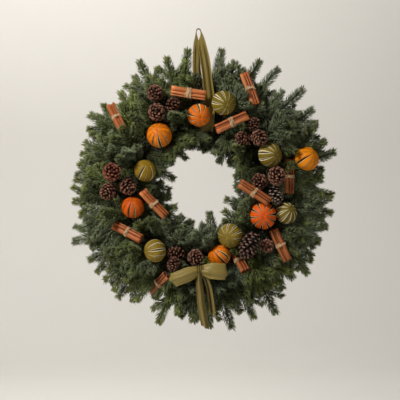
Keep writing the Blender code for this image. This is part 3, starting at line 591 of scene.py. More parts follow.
def surface(name, mottle, mottle_scale, roughness, bump, bump_scale, stretch=None, **values):
    """Colour from the mesh's tone, mottled by one noise and roughened and raised by another."""
    made = bpy.data.materials.new(name)
    made.use_nodes = True
    tree = made.node_tree
    shader = tree.nodes["Principled BSDF"]

    def added(kind, **inputs):
        node = tree.nodes.new("ShaderNode" + kind)
        for socket, value in inputs.items():
            node.inputs[socket.replace("_", " ")].default_value = value
        return node

    def ranged(low, high):
        return added("MapRange", From_Min=NOISE_LOW, From_Max=NOISE_HIGH, To_Min=low, To_Max=high)

    tone = added("Attribute")
    tone.attribute_name = "tone"
    if stretch:
        place = added("UVMap")
        place.uv_map = "grain"
        mapping = added("Mapping", Scale=(*stretch, 1.0))
        tree.links.new(place.outputs["UV"], mapping.inputs["Vector"])
        where = mapping.outputs["Vector"]
    else:
        where = added("TexCoord").outputs["Object"]
    coarse = added("TexNoise", Scale=mottle_scale, Detail=MOTTLE_DETAIL)
    fine = added("TexNoise", Scale=bump_scale, Detail=BUMP_DETAIL)
    shade = ranged(1 - mottle, 1 + mottle)
    mixed = added("VectorMath")
    mixed.operation = "SCALE"
    rough = ranged(*roughness)
    raised = added("Bump", Strength=1.0, Distance=bump)
    for outlet, inlet in (
            (where, coarse.inputs["Vector"]),
            (where, fine.inputs["Vector"]),
            (coarse.outputs["Fac"], shade.inputs["Value"]),
            (tone.outputs["Color"], mixed.inputs[0]),
            (shade.outputs["Result"], mixed.inputs["Scale"]),
            (mixed.outputs["Vector"], shader.inputs["Base Color"]),
            (fine.outputs["Fac"], rough.inputs["Value"]),
            (rough.outputs["Result"], shader.inputs["Roughness"]),
            (fine.outputs["Fac"], raised.inputs["Height"]),
            (raised.outputs["Normal"], shader.inputs["Normal"])):
        tree.links.new(outlet, inlet)
    for socket, value in values.items():
        shader.inputs[socket.replace("_", " ")].default_value = value
    return made


def plain_backdrop_material():
    """Paper of one colour, set where the mesh's tone would come in."""
    made = surface("studio_paper", 0.015, 1.2, (0.85, 0.95), 0.0004, 60.0)
    tree = made.node_tree
    tone = next(node for node in tree.nodes if node.type == "ATTRIBUTE")
    for link in list(tone.outputs["Color"].links):
        link.to_socket.default_value = PAPER_TONE
        tree.links.remove(link)
    tree.nodes.remove(tone)
    return made


PAPER_TONE = (0.80, 0.78, 0.745)
# Each one: mottling and its scale, least and greatest roughness, relief and its scale
NEEDLE = surface("fir_needle", 0.30, 55.0, (0.40, 0.60), 0.00008, 2600.0,
                 Specular_IOR_Level=0.22)
BARK = surface("fir_bark", 0.35, 420.0, (0.70, 0.92), 0.0005, 900.0)
ORANGE = surface("orange_rind", 0.20, 210.0, (0.40, 0.64), 0.00035, 900.0,
                 Specular_IOR_Level=0.22)
LIME = surface("lime_rind", 0.20, 230.0, (0.42, 0.66), 0.00030, 950.0, Specular_IOR_Level=0.25)
SCALE = surface("cone_scale", 0.34, 330.0, (0.42, 0.72), 0.0003, 1300.0,
                Specular_IOR_Level=0.30)
QUILL = surface("cinnamon_bark", 0.36, 1.0, (0.36, 0.62), 0.0005, 2.4, stretch=(520.0, 26.0),
                Specular_IOR_Level=0.40)
RAFFIA = surface("raffia", 0.28, 1.0, (0.70, 0.92), 0.0003, 2.0, stretch=(3400.0, 90.0))
SATIN = surface("ribbon_satin", 0.08, 0.25, (0.42, 0.54), 0.00003, 1.0, stretch=(2400.0, 900.0),
                Sheen_Weight=0.15, Sheen_Roughness=0.4, Specular_IOR_Level=0.4)
WIRE = surface("lacquered_wire", 0.20, 300.0, (0.30, 0.50), 0.0001, 900.0, Metallic=0.6)


# Fir

NEEDLE_LENGTH = 0.0190
NEEDLE_WIDTH = 0.0026
# Rows of needles along a twig: degrees round it from its flat side, spacing, and where the
# row starts as a share of the spacing, so that the rows of one side lie over one another
NEEDLE_ROWS = [
    (4, 0.0042, 0.2), (176, 0.0042, 0.7), (36, 0.0042, 0.35), (144, 0.0042, 0.85),
    (66, 0.0084, 0.25), (114, 0.0084, 0.60), (-32, 0.0036, 0.5), (212, 0.0036, 0.5),
]
LOW_THICKNESS = 0.75
LOW_NEEDLES_PER_METRE = 1060
TIP_NEEDLES = 14
# How strongly the needles crowd to both sides of a twig
PARTING = 0.24
# How far needles open from their twig, in degrees, and how much less on top and near the tip
NEEDLE_OPENING = 49
OPENING_LESS_ON_TOP = 19
OPENING_LESS_NEAR_TIP = 9
TIP_OPENING = (5, 44)
TIP_NEEDLE_SHARE = 0.66
NEAR_TIP = 0.030
OPENING_SPREAD = 2.2
TONE_SPREAD = 0.20
LENGTH_SPREAD = (0.88, 1.06)
NEAR_TIP_SHORTER = 0.17
ROW_SPREAD, TURN_SPREAD = 0.07, 5
FRESH_FROM, FRESH_TO, FRESH_SHARE = 0.020, 0.002, 0.85
TWIG_CORE = 0.0012
SHADED_UNDERSIDE = 0.42
# Thickness of a main twig and of its shoots, and the share of each that is bare at its root
MAIN_THICKNESS, MAIN_BARE = 1.0, 0.16
SHOOT_THICKNESS, SHOOT_BARE = 0.7, 0.02
MAIN_BEND = 0.004
# Side shoots: the share that is missing, their angle, length and least and greatest reach
SHOOTS_MISSING = 0.10
SHOOT_ANGLE = (34, 46)
SHOOT_LENGTH = (0.040, 0.056)
SHOOT_REACHES = (0.080, 0.284)
SHOOT_BACK_ROOM = 0.010
SHOOT_TINT = (0.85, 1.15)
SHOOT_BEND = 0.06
# How far the shoots of an outer and of another twig lean out of its flat side, in radians
OUTER_SHOOTS_LEAN, OTHER_SHOOTS_LEAN, SHOOT_LEAN_SPREAD = 0.4, 0.7, 0.35
SHOOT_PLACE_SPREAD = 0.05
POINTS_AT_ONCE = 4000
# How far shoots keep from the sight of a decoration, and how far needles may reach over one
SIGHT_ROOM = 0.004
SIGHT_CHECKS = 5
SIGHT_OVERLAP = 0.004
GOLDEN_TURN = math.radians(137.508)
DEEP = (0.038, 0.054, 0.017)
MID = (0.090, 0.118, 0.034)
GLAUCOUS = (0.172, 0.208, 0.120)
FRESH = (0.115, 0.158, 0.022)
PALE_KEEL = (0.250, 0.285, 0.180)
TIP_YELLOW = (0.230, 0.260, 0.030)
SHADOW_BLUE = (0.06, 0.10, 0.075)
# What a look mixes: two colours, the least share of the second and how much that varies
MIXED_LOOKS = {
    "fresh": (MID, FRESH, 0.5, 0.5),
    "yellow": (FRESH, TIP_YELLOW, 0.15, 0.35),
    "pale": (GLAUCOUS, (0.20, 0.25, 0.14), 0.0, 1.0),
    "frost": (MID, GLAUCOUS, 0.45, 0.55),
}
# Where branches of one colour grow: x and z from the centre, how far round, and how they look
COLOUR_PLACES = [
    (-0.041, 0.255, 0.060, "fresh"), (-0.086, -0.275, 0.045, "fresh"),
    (-0.170, 0.205, 0.035, "yellow"), (0.135, -0.215, 0.045, "yellow"),
    (0.010, -0.215, 0.035, "blue"), (0.040, -0.200, 0.030, "blue"),
    (-0.166, 0.082, 0.030, "pale"), (-0.084, 0.058, 0.028, "pale"),
    (-0.020, -0.085, 0.045, "pale"), (-0.125, -0.170, 0.030, "pale"),
    (0.140, 0.200, 0.075, "frost"), (0.200, 0.150, 0.075, "frost"),
    (0.060, 0.250, 0.060, "frost"),
    (0.150, 0.130, 0.030, "pale"), (-0.215, 0.020, 0.040, "fresh"),
    (-0.130, -0.220, 0.045, "fresh"), (-0.250, -0.100, 0.040, "frost"),
    (0.230, -0.060, 0.050, "frost"),
]
COLOUR_CHANCE = 0.85
WOOD = (0.110, 0.070, 0.040)
BUD = (0.230, 0.095, 0.045)
BUD_STEPS = np.array([0.0, 0.0022, 0.0044])
BUD_RADII = (0.0009, 0.0017, 0.0005)
FIR_SEED = 7
STEMS = 4
STEM_OFFSET = 0.0033
STEM_TWIST = 2.2


def along_branch(branch, part):
    """Points and directions along the bent line through a branch's root, middle and tip."""
    root, middle, tip = branch["root"], branch["middle"], branch["tip"]
    control = 2 * middle - (root + tip) / 2
    part = np.asarray(part, dtype=float)[:, None]
    points = (1 - part) ** 2 * root + 2 * part * (1 - part) * control + part ** 2 * tip
    along = (1 - part) * (control - root) + part * (tip - control)
    return points, unit(along)


def decoration_rods():
    kinds = ("orange", "lime", "cone", "cinnamon", "ribbon")
    chosen = [number for number, owner in enumerate(KEEP_CLEAR.owners)
              if owner.startswith(kinds)
              and KEEP_CLEAR.radii[number] > STUB_WIRE + 2 * CLEARANCE]
    starts = np.array(KEEP_CLEAR.starts)[chosen]
    ends = np.array(KEEP_CLEAR.ends)[chosen]
    return starts, ends, np.array(KEEP_CLEAR.radii)[chosen]


def push_out(points, room, in_front=False):
    """How deep each point lies in the decorations, or before them too, and the way out."""
    starts, ends, radii = RODS
    lines = ends - starts
    squares = np.maximum(np.sum(lines * lines, axis=1), 1e-12)
    depth = np.empty(len(points))
    away = np.empty((len(points), 3))
    for first in range(0, len(points), POINTS_AT_ONCE):
        here = points[first:first + POINTS_AT_ONCE]
        offset = here[:, None, :] - starts[None, :, :]
        part = np.clip(np.sum(offset * lines, axis=2) / squares, 0, 1)
        offset -= lines[None] * part[:, :, None]
        if in_front:
            offset[..., 1] = np.maximum(offset[..., 1], 0)
        inside = radii[None, :] + room - np.linalg.norm(offset, axis=2)
        worst = np.argmax(inside, axis=1)
        rows = np.arange(len(here))
        depth[first:first + POINTS_AT_ONCE] = inside[rows, worst]
        away[first:first + POINTS_AT_ONCE] = unit(offset[rows, worst])
    return depth, away


def branch_tones(x, z, outer, chance):
    """Body and tip colours of a branch by where its tip is."""
    kind = "plain"
    for place_x, place_z, reach, look in COLOUR_PLACES:
        if math.hypot(x - place_x, z - place_z) < reach and chance.random() < COLOUR_CHANCE:
            kind = look
            break
    share = chance.uniform(0, 1)
    if kind in MIXED_LOOKS:
        first, second, least, varies = MIXED_LOOKS[kind]
        body = blend(first, second, least + varies * share)
    elif kind == "blue":
        body = blend(blend(DEEP, GLAUCOUS, 0.35 + 0.2 * share), SHADOW_BLUE, 0.5)
    elif share < 0.25:
        body = blend(MID, GLAUCOUS, chance.uniform(0.1, 0.6))
    elif share < 0.75:
        body = blend(DEEP, MID, chance.uniform(0.45, 1.0))
    else:
        body = blend(MID, FRESH, chance.uniform(0.1, 0.7))
    yellow = chance.uniform(0.3, 0.9) if outer else chance.uniform(0, 0.5)
    if kind in ("frost", "pale", "blue"):
        yellow *= 0.4
    return np.array(body), np.array(blend(body, TIP_YELLOW, yellow))


def grown(sector, root, middle, tip, body, end, bare, length, thick):
    """One twig or shoot: its bent line, its body and tip colours and how it is clothed."""
    return {"sector": sector, "root": root, "middle": middle, "tip": tip, "body": body,
            "end": end, "bare": bare, "length": length, "thick": thick}


def low_grown(sector, root, tip, body, end):
    """A straight thin shoot low on the frame, with needles from its root on."""
    return grown(sector, root, (root + tip) / 2, tip, body, end, 0.0,
                 float(np.linalg.norm(tip - root)), LOW_THICKNESS)


def make_branches(chance):
    """Main twigs where the solids are, with side shoots, and short growth low on the frame."""
    branches = []
    for sector, root, middle, tip, outer in TWIGS:
        body, end = branch_tones(tip[0] - CENTRE_X, tip[2] - CENTRE_Z, outer, chance)
        length = float(np.linalg.norm(tip - root))
        bend = unit(chance.normal(size=3)) * MAIN_BEND
        main = grown(sector, root, middle + bend, tip, body, end, MAIN_BARE, length,
                     MAIN_THICKNESS)
        branches.append(main)
        side_shoots(branches, main, (tip - root) / length, outer, chance)
    for sector in range(SECTORS):
        for nearest, farthest, swing, count in LOW_ROWS:
            for number in range(count):
                part = (number + 0.5) / count
                low_shoot(branches, sector, part, (nearest, farthest), swing, chance)
    closing_shoots(branches, chance)
    return branches


def side_shoots(branches, main, direction, outer, chance):
    """Shoots in pairs along a main twig, left out where they would hide a decoration."""
    flat_side = unit(np.cross(direction, (0.0, 1.0, 0.0)))
    leaning = OUTER_SHOOTS_LEAN if outer else OTHER_SHOOTS_LEAN
    turn = chance.uniform(-leaning, leaning)
    other = np.cross(direction, flat_side)
    for place in OUTER_SHOOT_PLACES if outer else SHOOT_PLACES:
        for side in (-1, 1):
            if chance.random() < SHOOTS_MISSING:
                continue
            where = place + chance.uniform(-SHOOT_PLACE_SPREAD, SHOOT_PLACE_SPREAD)
            base, along = along_branch(main, [where])
            base, along = base[0], along[0]
            lean = turn + chance.uniform(-SHOOT_LEAN_SPREAD, SHOOT_LEAN_SPREAD)
            out = side * (flat_side * math.cos(lean) + other * math.sin(lean))
            angle_out = math.radians(chance.uniform(*SHOOT_ANGLE))
            way = along * math.cos(angle_out) + out * math.sin(angle_out)
            long = chance.uniform(*SHOOT_LENGTH) * (1.20 - 0.50 * where)
            tip = base + way * long
            reach = math.hypot(tip[0] - CENTRE_X, tip[2] - CENTRE_Z)
            if not SHOOT_REACHES[0] <= reach <= SHOOT_REACHES[1]:
                continue
            if tip[1] > BACK_Y - SHOOT_BACK_ROOM:
                continue
            checks = base + way * long * np.linspace(0.25, 1, SIGHT_CHECKS)[:, None]
            if push_out(checks, SIGHT_ROOM, True)[0].max() > 0:
                continue
            tint = chance.uniform(*SHOOT_TINT)
            swing = along * long * SHOOT_BEND
            branches.append(grown(main["sector"], base, base + way * long / 2 - swing, tip,
                                  main["body"] * tint, main["end"] * tint, SHOOT_BARE, long,
                                  SHOOT_THICKNESS))


def low_shoot(branches, sector, part, reaches, swing, chance):
    """One short shoot low on the frame, painted dark as shade, where it is clear of the
    decorations.
    """
    for _ in range(LOW_TRIALS):
        place = np.clip(part + chance.uniform(-0.06, 0.06), 0.01, 0.99)
        angle = (sector + place) * 360 / SECTORS
        root = np.array(polar(angle, STEM_REACH, STEM_DEPTH))
        turn = swing * chance.uniform(0.6, 1.0) * chance.choice([-1, 1])
        share = (part * 7.7 + chance.uniform(0, 0.3)) % 1
        reach = reaches[0] + (reaches[1] - reaches[0]) * share
        tip = np.array(polar(angle + turn, reach, chance.uniform(*LOW_DEPTH)))
        checks = root + (tip - root) * np.linspace(0.3, 1, SIGHT_CHECKS)[:, None]
        if push_out(checks, LOW_ROOM)[0].max() > 0:
            continue
        tint = chance.uniform(*LOW_PAINTED_SHADE)
        branches.append(low_grown(sector, root, tip, np.array(DEEP) * tint,
                                  np.array(blend(DEEP, MID, 0.5)) * tint))
        return


SHOOT_PLACES = (0.40, 0.66)
OUTER_SHOOT_PLACES = (0.34, 0.52, 0.70)
# Short growth low on the frame: least and greatest reach, swing in degrees and number a sector
LOW_ROWS = [
    (0.096, 0.122, 10, 15),
    (0.122, 0.140, 20, 14),
    (0.132, 0.146, 27, 7),
    (0.158, 0.176, 27, 9),
    (0.168, 0.190, 18, 13),
    (0.185, 0.215, 12, 18),
    (0.212, 0.252, 8, 20),
]
LOW_DEPTH = (0.014, 0.046)
LOW_ROOM = 0.001
# Darkening of the low shoots: painted shade deep in the wreath
LOW_PAINTED_SHADE = (0.24, 0.52)
LOW_TRIALS = 25
# Spots, from the wreath's centre, where short growth closes a gap behind the decorations
CLOSED_SPOTS = [
    (0.005, 0.101), (0.018, 0.106), (0.110, 0.062), (-0.123, -0.010), (-0.110, -0.090),
    (0.098, 0.132), (-0.098, -0.222), (0.142, -0.106), (0.036, -0.113), (0.185, -0.016),
]
CLOSING_SHOOTS = 4
# Darkening of the closing shoots: painted shade behind the decorations
CLOSING_PAINTED_SHADE = (0.30, 0.55)
# Turn in degrees from one root to the next, depth of the first root and tip, and how much deeper
# each next tip lies and how far it reaches past the spot
CLOSING_TURN = 8
CLOSING_ROOT_DEPTH, CLOSING_TIP_DEPTH = 0.020, 0.016
CLOSING_DEPTH_STEP, CLOSING_REACH = 0.005, 0.007


def closing_shoots(branches, chance):
    """Four short shoots across each spot, close to the wreath's back, painted dark as shade."""
    for x, z in CLOSED_SPOTS:
        angle = math.degrees(math.atan2(x, z)) % 360
        sector = min(int(angle * SECTORS / 360), SECTORS - 1)
        for number in range(CLOSING_SHOOTS):
            turned = angle - 1.5 * CLOSING_TURN + CLOSING_TURN * number
            root = np.array(polar(turned, STEM_REACH, CLOSING_ROOT_DEPTH))
            tip = np.array(spot(x, z, CLOSING_TIP_DEPTH + CLOSING_DEPTH_STEP * number))
            tip += unit(tip - root) * CLOSING_REACH
            tint = chance.uniform(*CLOSING_PAINTED_SHADE)
            branches.append(low_grown(sector, root, tip, np.array(DEEP) * tint,
                                      np.array(MID) * tint))


def needle_places(branch, low, chance):
    """Places along a branch and turns round it of its needles: in rows, or in a spiral low down."""
    span = branch["length"] * (1 - branch["bare"])
    if low:
        count = int(span * LOW_NEEDLES_PER_METRE)
        turn = np.arange(count) * GOLDEN_TURN + chance.normal(0, 0.10, count)
        return (np.arange(count) + 0.5) / count, turn - PARTING * np.sin(2 * turn)
    parts, turns = [], []
    for degrees, spacing, start in NEEDLE_ROWS:
        count = int(span / spacing)
        shift = start + chance.normal(0, ROW_SPREAD, count)
        parts.append((np.arange(count) + shift) / max(count, 1))
        turns.append(np.radians(degrees + chance.normal(0, TURN_SPREAD, count)))
    return np.clip(np.concatenate(parts), 0, 1), np.concatenate(turns)


def branch_needles(branch, chance):
    """Bases, directions, lengths, tones and fineness of a branch's needles, closed at its tip."""
    low = branch["thick"] == LOW_THICKNESS
    part, turn = needle_places(branch, low, chance)
    spread = len(part)
    ends = TIP_NEEDLES // 2 if low else TIP_NEEDLES
    count = spread + ends
    part = np.concatenate([branch["bare"] + (1 - branch["bare"]) * part, np.full(ends, 0.992)])
    turn = np.concatenate([turn, np.arange(ends) * GOLDEN_TURN])
    at_tip = np.arange(count) >= spread
    base, along = along_branch(branch, part)
    side = unit(np.cross(along, (0.05, -0.99, 0.08)))
    lift = np.cross(side, along)
    lift *= np.where(lift[:, 1:2] > 0, -1, 1)
    out = side * np.cos(turn)[:, None] + lift * np.sin(turn)[:, None]
    facing = np.sin(turn)
    from_tip = (1 - part) * branch["length"]
    near_tip = smooth_step(-from_tip, -NEAR_TIP, 0.0)
    opening = (NEEDLE_OPENING - OPENING_LESS_ON_TOP * np.clip(facing, 0, 1)
               - OPENING_LESS_NEAR_TIP * near_tip + chance.normal(0, OPENING_SPREAD, count))
    around_tip = np.sqrt(np.clip(np.arange(count) - spread + 0.5, 0, None) / ends)
    opening = np.radians(np.where(at_tip, TIP_OPENING[0] + TIP_OPENING[1] * around_tip, opening))
    way = along * np.cos(opening)[:, None] + out * np.sin(opening)[:, None]
    rise = smooth_step(part - branch["bare"], -0.05, 0.14)
    length = NEEDLE_LENGTH * branch["thick"] ** 0.3 * chance.uniform(*LENGTH_SPREAD, count)
    shorter = np.where(at_tip, TIP_NEEDLE_SHARE, 1 - NEAR_TIP_SHORTER * near_tip)
    length *= (0.75 + 0.25 * rise) * shorter
    fresh = smooth_step(-from_tip, -FRESH_FROM, -FRESH_TO)
    tone = blend(branch["body"], branch["end"], fresh * FRESH_SHARE)
    tone = tone * np.exp(chance.normal(0, TONE_SPREAD, count))[:, None]
    lit = smooth_step(facing, -0.9, 0.2)
    tone = tone * (SHADED_UNDERSIDE + (1 - SHADED_UNDERSIDE) * lit)[:, None]
    fine = (facing > -0.25) & (branch["thick"] == MAIN_THICKNESS)
    core = TWIG_CORE * branch["thick"]
    return base + out * core * 0.4, way, along, length, tone, fine


# A needle's points in use, out of seven, and its faces of three and of four points
FINE_NEEDLE = ([0, 1, 2, 3, 4, 5, 6], [[0, 1, 2], [3, 4, 6], [4, 5, 6], [5, 3, 6]],
               [[1, 4, 3, 0], [2, 5, 4, 1], [0, 3, 5, 2]])
PLAIN_NEEDLE = ([0, 3, 4, 5, 6],
                [[0, 2, 1], [0, 3, 2], [0, 1, 3], [1, 2, 4], [2, 3, 4], [3, 1, 4]], [])
NEEDLE_CURL = (0.08, 0.18)
NEEDLE_ROLL = 0.30
WIDTH_SPREAD = (0.82, 1.15)
# Where along its length a fine needle and a plain one is widest, and how wide it is at its root
WIDEST_PLACES = (0.74, 0.58)
ROOT_SHARE = 0.55
KEEL_LIFT = 0.15
KEEL_DEPTH = 0.60
KEEL_SHARE = 0.42
# How far needles stay from the decorations and the back, and how far one may be sunk and stay
NEEDLE_ROOM = 0.0012
NEEDLE_SUNK = 0.0015


def needle_mesh(form, base, way, along, length, tone, fine, chance):
    """Flat curved needles with a pale keel, each closed, with one ring of three more if fine."""
    count = len(base)
    curl = chance.uniform(*NEEDLE_CURL, count)[:, None] * length[:, None]
    roll = chance.normal(0, NEEDLE_ROLL, count)[:, None]
    side = unit(np.cross(way, along + 1e-4))
    top = np.cross(side, way)
    side, top = side * np.cos(roll) + top * np.sin(roll), top * np.cos(roll) - side * np.sin(roll)
    half_width = NEEDLE_WIDTH * chance.uniform(*WIDTH_SPREAD, count) * np.where(fine, 0.5, 0.6)
    half_width = half_width[:, None]
    far = np.where(fine, *WIDEST_PLACES)[:, None]
    middle = base + way * length[:, None] * far + along * curl * far ** 2
    end = base + way * length[:, None] + along * curl
    for _ in range(2):
        for row in (middle, end):
            deep, away = push_out(row, NEEDLE_ROOM)
            row += away * np.clip(deep, 0, None)[:, None]
    stays = push_out(end, 0.0)[0] < NEEDLE_SUNK
    stays &= push_out(end, -SIGHT_OVERLAP, True)[0] < 0
    for row in (base, middle, end):
        row[:, 1] = np.minimum(row[:, 1], BACK_Y - NEEDLE_ROOM)

    def ring(row, share):
        lift = top * half_width * KEEL_LIFT
        return [row - side * half_width * share + lift, row + side * half_width * share + lift,
                row - top * half_width * KEEL_DEPTH * share]

    keel = blend(tone, PALE_KEEL, np.full(count, KEEL_SHARE))
    points = np.stack(ring(base, ROOT_SHARE) + ring(middle, 1.0) + [end], axis=1)
    # Each needle is painted darker at its root as shade and lighter at its tip as a highlight
    tones = np.stack([tone * 0.2, tone * 0.2, keel * 0.25, tone, tone, keel, keel * 1.35], axis=1)
    for chosen, columns, threes, fours in ((fine & stays, *FINE_NEEDLE),
                                           (~fine & stays, *PLAIN_NEEDLE)):
        kept = points[chosen][:, columns]
        starts = (np.arange(len(kept)) * len(columns))[:, None, None]
        faces = [(starts + np.array(group)[None]).reshape(-1, len(group[0]))
                 for group in (threes, fours) if group]
        form.add(kept.reshape(-1, 3), faces, tones[chosen][:, columns].reshape(-1, 3))


def fir_pieces():
    chance = np.random.default_rng(FIR_SEED)
    branches = make_branches(chance)
    for sector in range(SECTORS):
        form = Form()
        own = [branch for branch in branches if branch["sector"] == sector]
        parts = [branch_needles(branch, chance) for branch in own]
        needle_mesh(form, *(np.concatenate(values) for values in zip(*parts)), chance)
        for branch in own:
            main, low = branch["thick"] == MAIN_THICKNESS, branch["thick"] == LOW_THICKNESS
            steps = np.linspace(0, 1, 7 if main else 3)
            path, _ = along_branch(branch, steps)
            radii = (0.0021 - 0.0011 * steps) * branch["thick"]
            tones = blend(WOOD, branch["body"] * 1.1, smooth_step(steps, 0.3, 1.0) * 0.6)
            form.tube(path, radii, 5, (0.31, -0.87, 0.38), tones, slot=1)
            for bud in range(3 if main else 0 if low else 1):
                way = unit(path[-1] - path[-2]) + chance.normal(size=3) * 0.25 * (bud > 0)
                bud_path = path[-1] + unit(way) * BUD_STEPS[:, None]
                form.tube(bud_path, BUD_RADII, 5, (0.5, 0.1, 0.86),
                          np.array(BUD) * chance.uniform(0.7, 1.3), slot=1)
        bundle_stems(form, sector, chance)
        number = sector + 1
        piece(form, "fir_boughs_%d" % number, [NEEDLE, BARK], "fir", "fir_spray_%d" % number)


def bundle_stems(form, sector, chance):
    """Four woody stems twisted round one another along a sixth of the frame."""
    steps = np.linspace(0, 1, 26)
    for stem in range(STEMS):
        path = []
        for part in steps:
            angle = sector * SECTOR_TURN + STEM_END_GAP + (SECTOR_TURN - 2 * STEM_END_GAP) * part
            twist = stem * math.pi / 2 + part * STEM_TWIST
            path.append(polar(angle, STEM_REACH + STEM_OFFSET * math.cos(twist),
                              STEM_DEPTH + STEM_OFFSET * math.sin(twist)))
        knobs = 0.00025 * np.sin(steps * 31 + stem)
        radii = 0.0032 + knobs + chance.normal(0, 0.0001, len(steps))
        form.tube(np.array(path), radii, 7, (0, 1, 0),
                  np.array(WOOD) * chance.uniform(0.8, 1.2), slot=1)


# Dried fruit

# Rind, half opening and lip in degrees, how open the other slits are, and the chosen slits: where
# each lies on the face, in radii to the right and up, and how open it is
FRUIT_LOOKS = {
    "orange_1": ((0.86, 0.215, 0.003), 3.4, 1.5, 0.30, [(-0.55, -0.42, 1.5), (0.12, -0.50, 1.7),
                                                      (0.50, -0.35, 0.6)]),
    "orange_2": ((0.84, 0.170, 0.003), 3.2, 2.2, 0.60, [(-0.15, 0.57, 1.7), (-0.57, 0.02, 1.6),
                                                      (0.48, 0.50, 0.9), (-0.25, -0.75, 0.9)]),
    "orange_3": ((0.66, 0.105, 0.003), 3.4, 0.8, 0.15, [(-0.33, -0.13, 1.8), (0.22, -0.35, 0.9)]),
    "orange_4": ((0.88, 0.210, 0.003), 2.8, 2.6, 0.15, [(0.19, 0.47, 1.4), (-0.28, 0.00, 1.5)]),
    "orange_5": ((0.78, 0.100, 0.003), 4.2, 1.5, 1.00, [(0.70, 0.10, 1.4), (0.55, 0.50, 1.3),
                                                      (0.00, 0.70, 1.2)]),
    # orange_6's rind colour is lightened as painted light, against the shade that falls on it
    "orange_6": ((0.94, 0.290, 0.004), 3.0, 1.6, 0.10, [(-0.58, -0.22, 1.6), (0.40, 0.30, 0.4)]),
    "lime_1": ((0.215, 0.155, 0.010), 1.9, 3.6, 0.55, [(-0.52, 0.42, 1.6), (0.04, 0.60, 1.5),
                                                      (-0.65, -0.28, 1.2), (-0.17, -0.80, 1.0)]),
    "lime_2": ((0.300, 0.180, 0.008), 2.2, 2.4, 0.25, [(-0.33, -0.10, 1.9), (0.75, -0.20, 1.2)]),
    "lime_3": ((0.290, 0.185, 0.012), 2.1, 2.6, 0.45, [(0.24, 0.14, 1.8), (-0.27, 0.53, 0.9),
                                                      (0.00, -0.53, 1.0)]),
    "lime_4": ((0.250, 0.170, 0.012), 1.8, 3.2, 0.50, [(-0.36, 0.64, 1.3), (0.32, 0.72, 1.2),
                                                      (0.56, 0.20, 1.3), (0.30, -0.40, 1.3)]),
    "lime_5": ((0.190, 0.140, 0.012), 1.8, 4.4, 0.90, [(-0.30, 0.10, 1.2), (-0.25, -0.30, 1.2)]),
    "lime_6": ((0.220, 0.150, 0.012), 2.0, 3.2, 0.55, [(-0.26, 0.13, 2.0), (0.10, 0.50, 1.2),
                                                      (-0.35, -0.50, 1.1)]),
}
SLITS = 10
# Where a pole points to the right and up, for a fruit whose slits run another way than its solid's
FRUIT_POLES = {"orange_4": (-0.60, 0.62)}
CREAM = {"orange": (0.90, 0.64, 0.30), "lime": (0.80, 0.70, 0.42)}
# Colour deep in the slits: the dried flesh, darkened to near black as painted shade
SLIT_FLESH_AND_SHADE = {"orange": (0.050, 0.010, 0.003), "lime": (0.050, 0.030, 0.010)}
# The stalk's star and the middle of it, and how far from the pole the star reaches in degrees
CALYX = {"orange": ((0.10, 0.07, 0.03), (0.16, 0.12, 0.05)),
         "lime": ((0.34, 0.30, 0.12), (0.36, 0.33, 0.16))}
PALE_CALYX = (0.75, 0.55, 0.30)
CALYX_ROWS = 9
# For the choice of slits: rows looked at and the step of the turn in degrees, and what it costs
# to take a place out of sight or a slit that is taken
CHOICE_ROWS = [35, 55, 75, 95, 115, 135]
ROLL_STEP = 2.0
HIDDEN_COST, TAKEN_COST = 9.0, 5.0
# How far a slit's floor and wall sink, and its lips, their edges and the strips between them
# rise, in shares of the radius
FLOOR_DIP, WALL_DIP = 0.19, 0.085
LIP_RISE, RIM_RISE, STRIP_RISE = 0.004, 0.014, 0.010
POLE_DIP, POLE_WIDTH = 0.045, 7.0
SKIN_SHARE = 0.985
# Least half opening of a slit and the width of a lip's edge, in degrees
LEAST_OPENING = 0.12
LIP_EDGE = 1.0
FRUIT_ROWS = np.concatenate([
    [2.5, 5, 8, 12, 16, 20, 25], np.linspace(31, 149, 14), [156, 162, 168, 173, 177]])


def choose_slits(matrix, pitch, chosen, rest):
    """Turn of the fruit about its core, and how open each slit is, to meet the chosen places."""
    colat = np.radians(CHOICE_ROWS)[:, None]
    best = (math.inf, 0.0, None)
    for roll in np.arange(0, pitch, ROLL_STEP):
        angle = np.radians(np.arange(SLITS) * pitch + roll)[None, :]
        local = np.stack([np.sin(colat) * np.cos(angle), np.sin(colat) * np.sin(angle),
                          np.cos(colat) + 0 * angle], axis=-1)
        world = local @ matrix[:3, :3].T
        hidden = np.where(world[..., 1] > -0.15, HIDDEN_COST, 0.0)
        factors = np.full(SLITS, rest)
        cost = 0.0
        for across, up, factor in chosen:
            away = np.hypot(world[..., 0] - across, world[..., 2] - up) + hidden
            away = away.min(axis=0) + np.where(factors == rest, 0.0, TAKEN_COST)
            factors[np.argmin(away)] = factor
            cost += away.min() * factor
        if cost < best[0]:
            best = (cost, roll, factors)
    return best[1], best[2]


